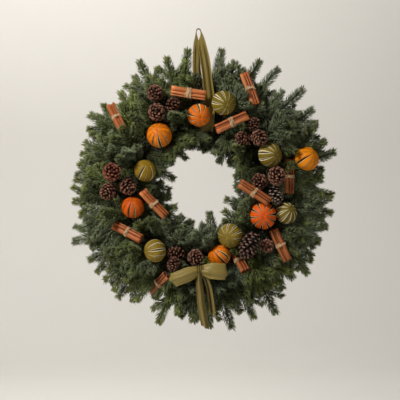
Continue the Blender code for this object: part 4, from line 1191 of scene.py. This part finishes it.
def fruit_piece(name, values, chance):
    """Dried fruit: rind in strips, with lens-shaped slits whose cut edges curl and show pith."""
    x, z, depth, radius, pole_x, pole_z = values
    pole_x, pole_z = FRUIT_POLES.get(name, (pole_x, pole_z))
    rind, opening, lip_width, rest, chosen = FRUIT_LOOKS[name]
    kind = name.split("_")[0]
    pitch = 360 / SLITS
    pole = heading(pole_x, pole_z, math.sqrt(max(1 - pole_x ** 2 - pole_z ** 2, 0.0)))
    matrix = np.array(aimed(spot(x, z, depth), pole))
    roll, openness = choose_slits(matrix, pitch, chosen, rest)
    slit_at = np.arange(SLITS) * pitch + roll + chance.uniform(-1.6, 1.6, SLITS)
    slit_open = opening * openness * chance.uniform(0.9, 1.1, SLITS)
    rim = lip_width * (0.35 + 0.65 * openness) * chance.uniform(0.85, 1.15, SLITS)
    bulge = chance.uniform(-0.012, 0.014, SLITS)
    tint = chance.uniform(0.86, 1.10, SLITS)
    rind, cream, dark = np.array(rind), np.array(CREAM[kind]), np.array(SLIT_FLESH_AND_SHADE[kind])
    phases = chance.uniform(0, 6.28, 6)
    points, tones = [], []
    for row in FRUIT_ROWS:
        opened = max(math.sin(math.pi * np.clip((row - 15) / 150, 0, 1)), 0.0) ** 0.55
        widths = slit_open * opened + LEAST_OPENING
        lips = rim * (0.3 + 0.7 * opened)
        lip_rise, rim_rise = 1 + LIP_RISE * opened, 1 + RIM_RISE * opened
        marks = []
        for slit in range(SLITS):
            following = (slit + 1) % SLITS
            width, lip, far_lip = widths[slit], lips[slit], lips[following]
            here = slit_at[slit]
            after = slit_at[following] + (pitch * SLITS if following == 0 else 0)
            edge = here + (width + lip + LIP_EDGE)
            next_edge = after - widths[following] - LIP_EDGE - far_lip
            strip = rind * tint[slit]
            shown = float(np.clip((openness[slit] - 0.15) / 0.7, 0, 1))
            pale = blend(strip * 0.85, cream, min(opened * 2.2, 1.0) * shown)
            # The slit's floor and wall carry painted shade
            deep = blend(strip * 0.8, dark, min(opened * 2.0, 1.0))
            wall = blend(deep, pale, 0.18)
            marks += [
                (here - width * 0.5, 1 - FLOOR_DIP * opened, deep),
                (here + width * 0.5, 1 - FLOOR_DIP * opened, deep),
                (here + width, 1 - WALL_DIP * opened, wall),
                (here + (width + lip * 0.35), lip_rise, pale),
                (here + (width + lip), rim_rise, pale)]
            # Each strip is painted darker at its edges and lighter in its middle, as shade and
            # light on its swell
            for part in (0.0, 0.25, 0.5, 0.75, 1.0):
                arch = math.sin(math.pi * part)
                swell = (bulge[slit] + STRIP_RISE) * arch * opened
                marks.append((edge + (next_edge - edge) * part, 1 + STRIP_RISE * opened + swell,
                              strip * (0.70 + 0.36 * arch)))
            marks += [(next_edge + LIP_EDGE, rim_rise, pale),
                      (next_edge + LIP_EDGE + far_lip * 0.65, lip_rise, pale)]
        angles, factors, colours = (np.array(values) for values in zip(*marks))
        angles = np.radians(angles)
        colat = math.radians(row)
        pole_dip = 1 - POLE_DIP * math.exp(-(min(row, 180 - row) / POLE_WIDTH) ** 2)
        wobble = (0.010 * np.sin(2 * angles + phases[0]) * math.sin(colat)
                  + 0.007 * np.sin(3 * angles + phases[1] + 2 * colat)
                  + 0.004 * np.sin(7 * angles + phases[2] + 5 * colat))
        reach = radius * SKIN_SHARE * pole_dip * factors * (1 + wobble)
        points.append(np.stack([reach * math.sin(colat) * np.cos(angles),
                                reach * math.sin(colat) * np.sin(angles),
                                reach * math.cos(colat) * FRUIT_HEIGHT], axis=1))
        if row < CALYX_ROWS:
            star = smooth_step(np.cos(5 * angles + phases[3]), -0.2, 0.6) * (1 - row / CALYX_ROWS)
            colours = blend(colours, CALYX[kind][0], star)
        tones.append(colours)
    columns = len(points[0])
    top = np.array([[0, 0, radius * 0.93 * FRUIT_HEIGHT]])
    calyx = np.array([PALE_CALYX if name == "orange_5" else CALYX[kind][1]])
    grid, *caps = closed_faces(len(points), columns)
    faces = [grid[:, ::-1], *(cap[:, [1, 0, 2]] for cap in caps)]
    form = Form()
    form.add(moved(np.concatenate(points + [top, -top]), matrix), faces,
             np.concatenate(tones + [calyx, rind[None] * 0.6]))
    piece(form, "dried_" + name, [ORANGE if kind == "orange" else LIME], kind, name)


# Pine cones

# Colours of the scales near the core and at their ends; the near-core colour is partly the scales'
# own and partly painted shade in the gaps
CONE_LOOKS = {
    "cone_1": ((0.115, 0.018, 0.008), (0.300, 0.110, 0.065)),
    "cone_12": ((0.020, 0.010, 0.007), (0.330, 0.250, 0.190)),
    "cone_13": ((0.014, 0.006, 0.004), (0.250, 0.140, 0.105)),
    "cone_14": ((0.160, 0.055, 0.032), (0.460, 0.230, 0.160)),
}
# How wide a scale is for the cone's radius, and how many scales a small and a large cone has
CONE_BREADTH = {"cone_14": 0.34}
SCALE_COUNTS = (46, 60)
SMALL_CONE = 0.016
CONE_NEAR, CONE_FAR = -0.88, 1.85
# Tilt of the scales in degrees: at the base, its growth, its growth near the tip and its spread
SCALE_TILT = (-26, 70, 42, 6)
SCALE_TURN_SPREAD = 0.09
SCALE_REACH = (0.90, 1.02)
SCALE_BREADTH = (0.76, 1.18)
SCALE_SHADE = (0.55, 1.35)
CORE_SHARE = 0.40
SCALE_TURNS = np.array([0, 50, 130, 180, 230, 310]) * math.pi / 180
# Painted shade along each scale, darkest at its root inside the cone
SCALE_ROOT_PAINTED_SHADE = np.array([0.28, 0.55, 0.95, 1.0, 1.0])
SCALE_BLEND = np.array([0.0, 0.0, 0.10, 0.55, 1.0])
CONE_LOOK = ((0.055, 0.016, 0.009), (0.300, 0.140, 0.090))
SCALE_STATIONS = np.array([0.0, 0.40, 0.74, 0.93, 1.0])
SCALE_WIDTHS = np.array([0.34, 0.70, 1.0, 0.86, 0.50])
SCALE_THICKNESS = np.array([0.0008, 0.0010, 0.0016, 0.0022, 0.0012])


def cone_piece(name, values, chance):
    """Pine cone: woody scales set round a core in a spiral, opening from its base to its tip."""
    x, z, depth, radius, half_length, tip = values
    inner, end_tone = (np.array(colour) for colour in CONE_LOOKS.get(name, CONE_LOOK))
    matrix = np.array(aimed(spot(x, z, depth), heading(*tip)))
    size = radius / 0.020
    count = SCALE_COUNTS[radius >= SMALL_CONE]
    broad = CONE_BREADTH.get(name, 0.50)
    up_way = np.array([0, 0, 1])
    sides = len(SCALE_TURNS)
    form = Form()
    first_turn = chance.uniform(0, 6.28)
    for number in range(count):
        part = (number + 0.5) / count
        height = CONE_NEAR + CONE_FAR * part ** 0.92
        girth = (1 - min(abs(height), 0.985) ** 2.2) ** 0.60
        first_tilt, growth, late_growth, spread = SCALE_TILT
        tilt = math.radians(first_tilt + growth * part + late_growth * part ** 4
                            + chance.normal(0, spread))
        spin = first_turn + number * GOLDEN_TURN + chance.normal(0, SCALE_TURN_SPREAD)
        reach = radius * girth * chance.uniform(*SCALE_REACH)
        long = min((0.80 * reach) / max(math.cos(tilt), 0.30), radius * 0.9)
        width = radius * broad * (0.45 + 0.55 * girth) * chance.uniform(*SCALE_BREADTH)
        ridge = height * half_length * 0.97
        out = reach - long * math.cos(tilt) * (1 - SCALE_STATIONS)
        up = ridge - long * math.sin(tilt) * (1 - SCALE_STATIONS)
        up = up + 0.0016 * size * SCALE_STATIONS ** 3
        radial = np.array([math.cos(spin), math.sin(spin), 0])
        tangent = np.array([-math.sin(spin), math.cos(spin), 0])
        normal = np.array([-math.sin(tilt) * math.cos(spin), -math.sin(tilt) * math.sin(spin),
                           math.cos(tilt)])
        middles = radial * out[:, None] + up_way * up[:, None]
        half_widths = np.cos(SCALE_TURNS)[None, :] * width * SCALE_WIDTHS[:, None] / 2
        heights = np.sin(SCALE_TURNS)[None, :] * SCALE_THICKNESS[:, None] * size
        rings = (middles[:, None, :] + tangent * half_widths[..., None]
                 + normal * heights[..., None])
        nose = middles[-1] + radial * 0.0004 * math.cos(tilt) + np.array([0, 0, 0.0004])
        local = np.concatenate([rings.reshape(-1, 3), [middles[0]], [nose]])
        shade = chance.uniform(*SCALE_SHADE)
        rows = blend(inner, end_tone, SCALE_BLEND) * (SCALE_ROOT_PAINTED_SHADE * shade)[:, None]
        # The scale's root point carries painted shade
        tones = [np.repeat(rows, sides, axis=0), [inner * 0.3], [end_tone * shade * 0.9]]
        form.add(moved(local, matrix), closed_faces(len(SCALE_STATIONS), sides),
                 np.concatenate(tones))
    # The core, painted dark as shade inside the cone
    steps = np.linspace(-0.82, 0.86, 9)
    path = moved(np.array([[0, 0, step * half_length] for step in steps]), matrix)
    radii = radius * CORE_SHARE * np.sqrt(1 - steps ** 2)
    form.tube(path, radii, 10, matrix[:3, 0], inner * 0.35)
    piece(form, "pine_" + name, [SCALE], "cone", name)


# Cinnamon

CINNAMON_TONE = (0.425, 0.114, 0.029)
CINNAMON_PALE_AND_HIGHLIGHT = (0.670, 0.255, 0.088)
# Colour of a quill's inner face: painted shade inside the roll
CINNAMON_INNER_SHADE = (0.060, 0.014, 0.005)
SEAM_IN_SIGHT = (0.15, 0.7)
SEAM_HIDDEN = (1.2, 2.7)
# Brightness of some bundles: painted light and shade for where each sits in the wreath
BUNDLE_PAINTED_LIGHT = {
    "cinnamon_2": 1.2, "cinnamon_5": 0.75, "cinnamon_6": 0.85, "cinnamon_7": 0.80,
    "cinnamon_8": 0.65, "cinnamon_11": 0.65,
}
BARK_THICKNESS = 0.0010
# How many points of a quill's line, at each edge, lie rolled in, painted darker as shade
CURL_POINTS = 8
CURL_SHADE = 0.6
CUT_PALER = 0.30
CUT_UNEVENNESS = 0.0007
QUILL_BEND = 0.0007


def quill_line():
    """Middle line of a curl of bark whose two edges roll in beside each other."""
    reach = QUILL_RADIUS - BARK_THICKNESS / 2
    centre = np.array([0.50, 0.29]) * reach
    small = reach - np.linalg.norm(centre)
    meet = math.atan2(centre[1], centre[0])
    big = np.linspace(-math.pi / 2, meet, 9)
    half = [np.stack([np.cos(big), np.sin(big)], axis=1) * reach]
    curl = np.linspace(meet, meet + math.radians(262), 12)[1:]
    shrink = np.linspace(1.0, 0.62, len(curl))[:, None]
    half.append(centre + np.stack([np.cos(curl), np.sin(curl)], axis=1) * small * shrink)
    half = np.concatenate(half)
    other = half[::-1] * np.array([-1, 1])
    return np.concatenate([other[:-1], half])


def cinnamon_piece(name, values, chance):
    x, z, depth, run = values
    centre = spot(x, z, depth)
    axis = heading(*run)
    across = axis.cross(Vector((0, -1, 0))).normalized()
    front = axis.cross(across)
    if front.y > 0:
        across, front = -across, -front
    basis = np.array([across, front, axis])
    line = quill_line()
    along = unit(np.gradient(line, axis=0))
    normal = np.stack([along[:, 1], -along[:, 0]], axis=1)
    count = len(line)
    length = running_length(line)
    outside = np.arange(count)
    curled = np.r_[(outside < CURL_POINTS) | (outside >= count - CURL_POINTS),
                   np.zeros(count, bool)]
    form = Form()
    seam_side = chance.choice([-1, 1])
    for side in (-1, 1):
        steps = np.linspace(-1, 1, 9)
        half_length = QUILL_LENGTH / 2 * chance.uniform(0.95, 1.0)
        roll = chance.uniform(*(SEAM_IN_SIGHT if side == seam_side else SEAM_HIDDEN))
        roll *= chance.choice([-1, 1])
        turned = np.array([[math.cos(roll), math.sin(roll)], [-math.sin(roll), math.cos(roll)]])
        bend = chance.uniform(-QUILL_BEND, QUILL_BEND, 2)
        rows, tones, grains = [], [], []
        cut = CUT_UNEVENNESS * np.sin(np.arange(2 * count) * 0.9 + chance.uniform(0, 6))
        for step in steps:
            size = 1 + 0.035 * math.sin(step * 5 + side) - 0.02
            wall = BARK_THICKNESS / 2 * (1 + 0.2 * math.sin(step * 9))
            outer = (line + normal * wall) * size
            inner = (line - normal * wall) * size
            section = np.concatenate([outer, inner[::-1]]) @ turned
            shift = bend * (1 - step ** 2)
            end = np.where(abs(step) == 1, cut, 0)
            local = np.column_stack([section + shift + np.array([side * QUILL_SPACING, 0]),
                                     np.full(2 * count, step * half_length) + end])
            rows.append(local)
            edge = CUT_PALER * (abs(step) == 1)
            # Bands of a paler colour round each quill, partly the bark's own streaks and partly a
            # painted highlight
            tone = blend(CINNAMON_TONE, CINNAMON_PALE_AND_HIGHLIGHT,
                         np.clip(0.25 + 0.3 * np.sin(np.arange(2 * count) * 0.35 + side), 0, 1))
            tone = tone * (1 + edge) * BUNDLE_PAINTED_LIGHT.get(name, 1.0)
            tone[count:] = np.array(CINNAMON_INNER_SHADE) * (1.0 + 4 * edge)
            tone[curled] *= CURL_SHADE
            tones.append(tone)
            grains.append(np.column_stack([np.concatenate([length, length[::-1] + 0.05]),
                                           np.full(2 * count, step * half_length + 0.1 * side)]))
        local = np.concatenate(rows)
        world = local @ basis + np.array(centre)
        here = np.arange(count - 1)
        caps = np.stack([here, here + 1, 2 * count - 2 - here, 2 * count - 1 - here], axis=1)
        faces = [grid_faces(len(steps), 2 * count, True), caps[:, ::-1],
                 caps + (len(steps) - 1) * 2 * count]
        form.add(world, faces, np.concatenate(tones), np.concatenate(grains))
    piece(form, name + "_quills", [QUILL], "cinnamon", name)
    tie_piece(name, basis, centre, chance)


RAFFIA_TONE = (0.620, 0.420, 0.240)
# How many turns of raffia go round a bundle, and round those that have more than the others
COMMON_TIE_TURNS = 3.5
TIE_TURNS = {"cinnamon_2": 5.5, "cinnamon_4": 4.5}
TIE_POINTS_A_TURN = 24
TIE_PITCH = 0.0022
TIE_LIFT = 0.0007
RAFFIA_RADIUS = 0.0006
TIE_END_LENGTH = (0.008, 0.013)
TIE_END_RADIUS = 0.0011
TIE_KNOT_RADIUS = 0.0012


def tie_piece(name, basis, centre, chance):
    """Raffia wound round the bundle, with a small knot in front and two short ends."""
    form = Form()
    turns = TIE_TURNS.get(name, COMMON_TIE_TURNS)
    count = int(TIE_POINTS_A_TURN * turns) + 1
    angle = np.linspace(0, 2 * math.pi * turns, count) + math.pi / 2
    wide, tall = QUILL_SPACING + QUILL_RADIUS + TIE_LIFT, QUILL_RADIUS + TIE_LIFT
    cosine, sine = np.cos(angle), np.sin(angle)
    rise = (angle - angle.mean()) / (2 * math.pi) * TIE_PITCH
    wander = 0.0006 * np.sin(angle * 0.7 + chance.uniform(0, 6))
    path = np.column_stack([np.sign(cosine) * np.abs(cosine) ** 0.75 * wide,
                            np.sign(sine) * np.abs(sine) ** 0.85 * tall, rise + wander])
    tint = chance.uniform(0.85, 1.1)
    tones = blend(np.array(RAFFIA_TONE) * 0.8, np.array(RAFFIA_TONE) * 1.2,
                  0.5 + 0.5 * np.sin(angle * 1.7)) * tint
    form.tube(path @ basis + np.array(centre), RAFFIA_RADIUS, 6, basis[2], tones, flat=1.7)
    knot = np.array([0.0, tall + TIE_END_RADIUS, 0.0])
    for side in (-1, 1):
        reach = chance.uniform(*TIE_END_LENGTH)
        lean = chance.uniform(-0.5, 0.5)
        steps = np.linspace(0, 1, 9)
        strand = np.column_stack([
            side * (0.0006 + reach * steps), 0.0009 * np.sin(steps * math.pi) - 0.0012 * steps,
            reach * (lean * steps + 0.35 * side * steps ** 2)])
        radii = TIE_END_RADIUS * (1 - 0.55 * steps)
        form.tube((knot + strand) @ basis + np.array(centre), radii, 6, basis[1],
                  np.array(RAFFIA_TONE) * tint * 1.1, flat=0.5)
        steps = np.linspace(-1, 1, 9)
        lump = np.column_stack([0.0019 * steps * side, 0.0009 * np.cos(steps * 1.5),
                                0.0022 * steps * (1 if side > 0 else 0.8)])
        form.tube((knot + lump) @ basis + np.array(centre), TIE_KNOT_RADIUS, 6,
                  basis[1] + 0.01, np.array(RAFFIA_TONE) * tint, flat=0.8)
    piece(form, name + "_raffia", [RAFFIA], "tie", name + "_tie")


# Ribbon

RIBBON_WIDTH = 0.036
RIBBON_TONE = (0.270, 0.200, 0.046)
CLOTH_THICKNESS = 0.0005
CLOTH_COLUMNS = 21
CLOTH_STEP = 0.0035
SLANT_ROWS = 8
HEM_START = 0.86
HEM_BRIGHTNESS = 1.35
HANGER_NARROWING = 0.97
# How much nearer to each other the strands of the hanging ribbon lie than the solids' strands
HANGER_DRAWN_IN = 0.22
TAIL_NARROWING = (0.84, 0.72)
KNOT_STEPS = 16
# Height of the hanging ribbon's folds at its top, how much they grow, and how far down they do
TOP_FOLD, FOLD_GROWTH = 0.0006, 0.0060
FOLD_GROWS = (0.030, 0.075)
LOOP_STEPS, LOOP_GATHERED, LOOP_FLARE = 20, 0.0085, 2.6
TAIL_SLANT = 0.005
# Heights below the ribbon's top between which the strands draw in, and then lie as the solids' do
DRAWN_IN_FROM = (0.004, 0.030)
DRAWN_IN_TO = (0.125, 0.165)


def smooth_stations(stations, closed, steps):
    """Stations spaced closely along the smooth line through the given ones."""
    middles = np.array([tuple(station[0]) for station in stations])
    acrosses = np.array([tuple(station[1]) for station in stations])
    widths = np.array([station[2] for station in stations])
    values = np.column_stack([middles, acrosses, widths])
    count = len(values)
    if closed:
        padded = np.concatenate([values[-1:], values, values[:2]])
        spans = count
    else:
        padded = np.concatenate([2 * values[:1] - values[1:2], values,
                                 2 * values[-1:] - values[-2:-1]])
        spans = count - 1
    result = []
    for span in range(spans):
        before, here, after, later = padded[span:span + 4]
        gap = np.linalg.norm(after[:3] - here[:3])
        pieces = max(2, int(math.ceil(gap / steps)))
        in_slope = (after - before) / 2
        out_slope = (later - here) / 2
        scale_in = gap / max(np.linalg.norm(in_slope[:3]), 1e-9)
        scale_out = gap / max(np.linalg.norm(out_slope[:3]), 1e-9)
        in_slope = in_slope * min(1.0, scale_in)
        out_slope = out_slope * min(1.0, scale_out)
        for part in np.arange(pieces) / pieces:
            square, cube = part ** 2, part ** 3
            result.append((2 * cube - 3 * square + 1) * here + (cube - 2 * square + part) * in_slope
                          + (3 * square - 2 * cube) * after + (cube - square) * out_slope)
    if not closed:
        result.append(values[-1])
    result = np.array(result)
    return result[:, :3], unit(result[:, 3:6]), result[:, 6]


def cloth_piece(name, stations, closed, folds, fullness, tone, nodes, ends=0.0, lift=None,
                phase=0.0):
    """A length of ribbon, gathered in lengthwise folds wherever it is narrower than its cloth."""
    middles, across, widths = smooth_stations(stations, closed, CLOTH_STEP)
    if closed:
        along = unit(np.roll(middles, -1, axis=0) - np.roll(middles, 1, axis=0))
    else:
        along = unit(np.gradient(middles, axis=0))
    across = unit(across - along * np.sum(across * along, axis=1, keepdims=True))
    normal = np.cross(across, along)
    part = np.linspace(-1, 1, CLOTH_COLUMNS)
    rows = len(middles)
    gathers = np.clip(RIBBON_WIDTH / (2 * widths), 1.0, fullness)
    steep = np.sqrt(2 * (gathers ** 2 - 1))
    height = steep * (2 * widths / folds) / (2 * math.pi)
    if lift is not None:
        height = np.minimum(height, lift(middles))
    drift = np.linspace(0, 1, rows) * 2 * math.pi
    wave = np.cos(math.pi * folds * part[None, :] + phase
                  + (0.5 * np.sin(drift * (1 if closed else 0.4)))[:, None])
    wave += 0.25 * np.cos(math.pi * folds * 2.3 * part[None, :] + 1.1 + phase)
    wave -= wave.mean(axis=1, keepdims=True) * 0.5
    points = (middles[:, None, :] + across[:, None, :] * (widths[:, None] * part)[..., None]
              + normal[:, None, :] * (height[:, None] * wave)[..., None])
    points[..., 1] = np.minimum(points[..., 1], BACK_Y - CLOTH_THICKNESS / 2)
    if ends:
        slant = np.clip((np.arange(rows) - (rows - 1 - SLANT_ROWS)) / SLANT_ROWS, 0, 1)
        points += along[:, None, :] * (slant[:, None] * part[None, :] * ends)[..., None]
    length = running_length(middles)
    grain = np.stack([np.broadcast_to(part * RIBBON_WIDTH / 2, (rows, CLOTH_COLUMNS)),
                      np.repeat(length[:, None], CLOTH_COLUMNS, axis=1)], axis=-1)
    edge = smooth_step(np.abs(part), HEM_START, 1.0)
    tones = np.broadcast_to(blend(np.array(tone), np.array(tone) * HEM_BRIGHTNESS, edge),
                            (rows, CLOTH_COLUMNS, 3)).reshape(-1, 3)
    faces = grid_faces(rows, CLOTH_COLUMNS, False)
    if closed:
        last = (rows - 1) * CLOTH_COLUMNS
        here = np.arange(CLOTH_COLUMNS - 1)
        faces = np.concatenate([faces, np.stack([last + here, last + here + 1, here + 1, here],
                                                axis=1)])
    form = Form()
    form.add(points.reshape(-1, 3), [faces], tones, grain.reshape(-1, 2))
    made = piece(form, name, [SATIN], "ribbon", *nodes)
    skin = made.modifiers.new("thickness", "SOLIDIFY")
    skin.thickness = CLOTH_THICKNESS
    skin.offset = 0.0


def knot_stations():
    knot = spot(*KNOT)
    stations = []
    for step in range(KNOT_STEPS):
        turn = 2 * math.pi * step / KNOT_STEPS
        middle = knot + Vector((0, KNOT_SIZE[1] * math.cos(turn), KNOT_SIZE[2] * math.sin(turn)))
        stations.append((middle, Vector((1, 0, 0)), KNOT_SIZE[0] * 0.95))
    return stations


def ribbon_pieces():
    tone = np.array(RIBBON_TONE)

    def near_top(middles):
        return TOP_FOLD + FOLD_GROWTH * smooth_step(-middles[:, 2], *FOLD_GROWS)

    stations = hanger_stations()
    top = max((station[0] for station in stations), key=lambda middle: middle[2])
    hanger = []
    for middle, across, width in stations:
        share = smooth_step(np.array([-middle[2]]), *DRAWN_IN_FROM)[0]
        share *= 1 - smooth_step(np.array([-middle[2]]), *DRAWN_IN_TO)[0]
        inward = np.array([(top[0] - middle[0]) * HANGER_DRAWN_IN * share, 0.0, 0.0])
        hanger.append((np.array(middle) + inward, across, width * HANGER_NARROWING))
    # The hanging ribbon, the tails and the knot are painted darker than the loops, as painted shade
    # on one ribbon
    cloth_piece("hanging_ribbon", hanger, closed=True, folds=2, fullness=1.6, tone=tone * 0.85,
                nodes=["ribbon_hanger"], lift=near_top)
    for side, values in zip(("left", "right"), BOW_LOOPS):
        stations = loop_stations(values, LOOP_STEPS, LOOP_GATHERED, LOOP_FLARE)
        cloth_piece("bow_loop_" + side, stations, closed=True, folds=1, fullness=1.15, tone=tone,
                    nodes=["ribbon_bow"], phase=0.6)
    for side, tail, narrowing in zip(("left", "right"), BOW_TAILS, TAIL_NARROWING):
        stations = [(middle, across, width * narrowing)
                    for middle, across, width in tail_stations(tail)]
        cloth_piece("bow_tail_" + side, stations, closed=False, folds=1, fullness=2.8,
                    tone=tone * 0.8, nodes=["ribbon_bow"], ends=TAIL_SLANT,
                    phase=2.2 if side == "left" else 0.4)
    cloth_piece("bow_knot", knot_stations(), closed=True, folds=3, fullness=2.1,
                tone=tone * 0.62, nodes=["ribbon_bow"])


# Wire frame

WIRE_TONE = (0.030, 0.055, 0.030)
STUB_STRAND = 0.00055
RING_STEPS = 120
STRAND_OFFSET = 0.0006
STRAND_PITCH = 0.007


def wire_stop(name):
    """How far from the middle of a piece its wire ends."""
    if name in FRUIT:
        return FRUIT[name][3] * 0.86
    if name in CONES:
        return CONES[name][3] * 0.55
    return QUILL_RADIUS if name in CINNAMON else KNOT_SIZE[1]


def wire_piece(stubs):
    """Two rings and their spokes, and a pair of twisted strands to the back of each piece."""
    form = Form()
    turn = np.linspace(0, 2 * math.pi, RING_STEPS + 1)
    for ring in RING_RADII:
        path = np.array([polar(math.degrees(angle), ring, RING_DEPTH) for angle in turn])
        form.tube(path, RING_WIRE, 8, (0, 1, 0), WIRE_TONE, close=False)
    for step in range(SPOKE_COUNT):
        angle = (step + 0.5) * 360 / SPOKE_COUNT
        path = np.array([polar(angle, RING_RADII[0] + (RING_RADII[1] - RING_RADII[0]) * part,
                               RING_DEPTH) for part in np.linspace(0, 1, 5)])
        form.tube(path, SPOKE_WIRE, 8, (0, 1, 0), WIRE_TONE)
    steps = np.linspace(0, 1, 17)
    for name, start, target in stubs:
        start, target = np.array(start), np.array(target)
        way = unit(target - start)
        long = float(np.linalg.norm(target - start)) - wire_stop(name)
        side = unit(np.cross(way, (0.2, 0.3, 0.93)))
        lift = np.cross(way, side)
        for strand in (0, math.pi):
            twist = steps * long / STRAND_PITCH * math.pi + strand
            path = (start + way * long * steps[:, None]
                    + (side * np.cos(twist)[:, None] + lift * np.sin(twist)[:, None])
                    * STRAND_OFFSET)
            form.tube(path, STUB_STRAND, 4, side + 0.3 * lift, WIRE_TONE)
    piece(form, "wire_frame_wires", [WIRE], "wire", "wire_frame")


# Studio

def backdrop():
    """Pale floor that sweeps up into a pale wall, well behind the wreath."""
    form = Form()
    profile = [(-9.0, FLOOR_Z), (-3.0, FLOOR_Z), (3.0, FLOOR_Z), (SWEEP_START, FLOOR_Z)]
    for step in range(1, SWEEP_STEPS + 1):
        angle = math.pi / 2 * step / SWEEP_STEPS
        profile.append((SWEEP_START + SWEEP_RADIUS * math.sin(angle),
                        FLOOR_Z + SWEEP_RADIUS * (1 - math.cos(angle))))
    wall = SWEEP_START + SWEEP_RADIUS
    profile += [(wall, 2.0), (wall, 6.0)]
    across = np.linspace(-9, 9, 7)
    points = np.array([[x, y, z] for y, z in profile for x in across])
    form.add(points, [grid_faces(len(profile), len(across), False)], PAPER_TONE)
    made = form.build("studio_backdrop", [plain_backdrop_material()])


def area_light(name, place, target, size, power, colour):
    light = bpy.data.lights.new(name, "AREA")
    light.shape = "DISK"
    light.size = size
    light.energy = power
    light.color = colour
    made = bpy.data.objects.new(name, light)
    made.location = place
    made.rotation_euler = (Vector(target) - Vector(place)).to_track_quat("-Z", "Y").to_euler()
    bpy.context.scene.collection.objects.link(made)


def studio():
    backdrop()
    for name, place, target, size, power, colour in LIGHTS:
        area_light(name, place, target, size, power, colour)
    world = bpy.data.worlds.new("studio")
    bpy.context.scene.world = world
    world.use_nodes = True
    background = world.node_tree.nodes["Background"]
    background.inputs["Color"].default_value = ROOM_COLOUR
    background.inputs["Strength"].default_value = ROOM_STRENGTH
    view = bpy.context.scene.view_settings
    view.view_transform = "Standard"
    view.look = "None"
    camera = bpy.data.cameras.new("camera")
    camera.lens = LENS
    camera.sensor_width = SENSOR
    made = bpy.data.objects.new("camera", camera)
    made.location = (CENTRE_X - CAMERA_LEFT * PIXEL,
                     FRONT_Y - PICTURE_WIDTH * PIXEL * LENS / SENSOR,
                     CENTRE_Z - CAMERA_DOWN * PIXEL)
    made.rotation_euler = (math.pi / 2, 0, 0)
    bpy.context.scene.collection.objects.link(made)
    bpy.context.scene.camera = made


FLOOR_Z = -1.2
SWEEP_START = 4.0
SWEEP_RADIUS = 1.2
SWEEP_STEPS = 12
# How much of the wreath's front one pixel of the picture covers
PIXEL = 0.00215
PICTURE_WIDTH = 400
LENS = 135
SENSOR = 36
# Where the camera is from the wreath's centre, in pixels, and the plane that PIXEL holds for
CAMERA_LEFT, CAMERA_DOWN = 2, 10
FRONT_Y = -0.06
ROOM_COLOUR = (1.0, 0.95, 0.86, 1.0)
ROOM_STRENGTH = 0.05
MIDDLE = (CENTRE_X, -0.05, CENTRE_Z)
# Lights: name, place, what it is turned to, size, power and colour
LIGHTS = [
    ("key", (-1.8, -2.1, 1.5), MIDDLE, 0.8, 92.0, (1.0, 0.965, 0.91)),
    ("fill", (2.7, -1.8, 0.0), MIDDLE, 1.8, 8.0, (1.0, 0.97, 0.92)),
    ("back", (-0.6, 2.6, 1.4), MIDDLE, 1.6, 30.0, (1.0, 0.98, 0.95)),
    ("backdrop_wash", (-1.1, 2.7, 2.8), (-0.4, 5.2, 1.1), 1.2, 112.0, (1.0, 0.98, 0.945)),
]
PIECES_SEED = 11

KEEP_CLEAR = Clearance()
STUBS = fill_clearance()
TWIGS = place_twigs(np.random.default_rng(SEED))
RODS = decoration_rods()
draw = np.random.default_rng(PIECES_SEED)
for fruit_name, fruit_values in FRUIT.items():
    fruit_piece(fruit_name, fruit_values, draw)
for cone_name, cone_values in CONES.items():
    cone_piece(cone_name, cone_values, draw)
for bundle_name, bundle_values in CINNAMON.items():
    cinnamon_piece(bundle_name, bundle_values, draw)
wire_piece(STUBS)
ribbon_pieces()
fir_pieces()
studio()

bpy.context.view_layer.update()
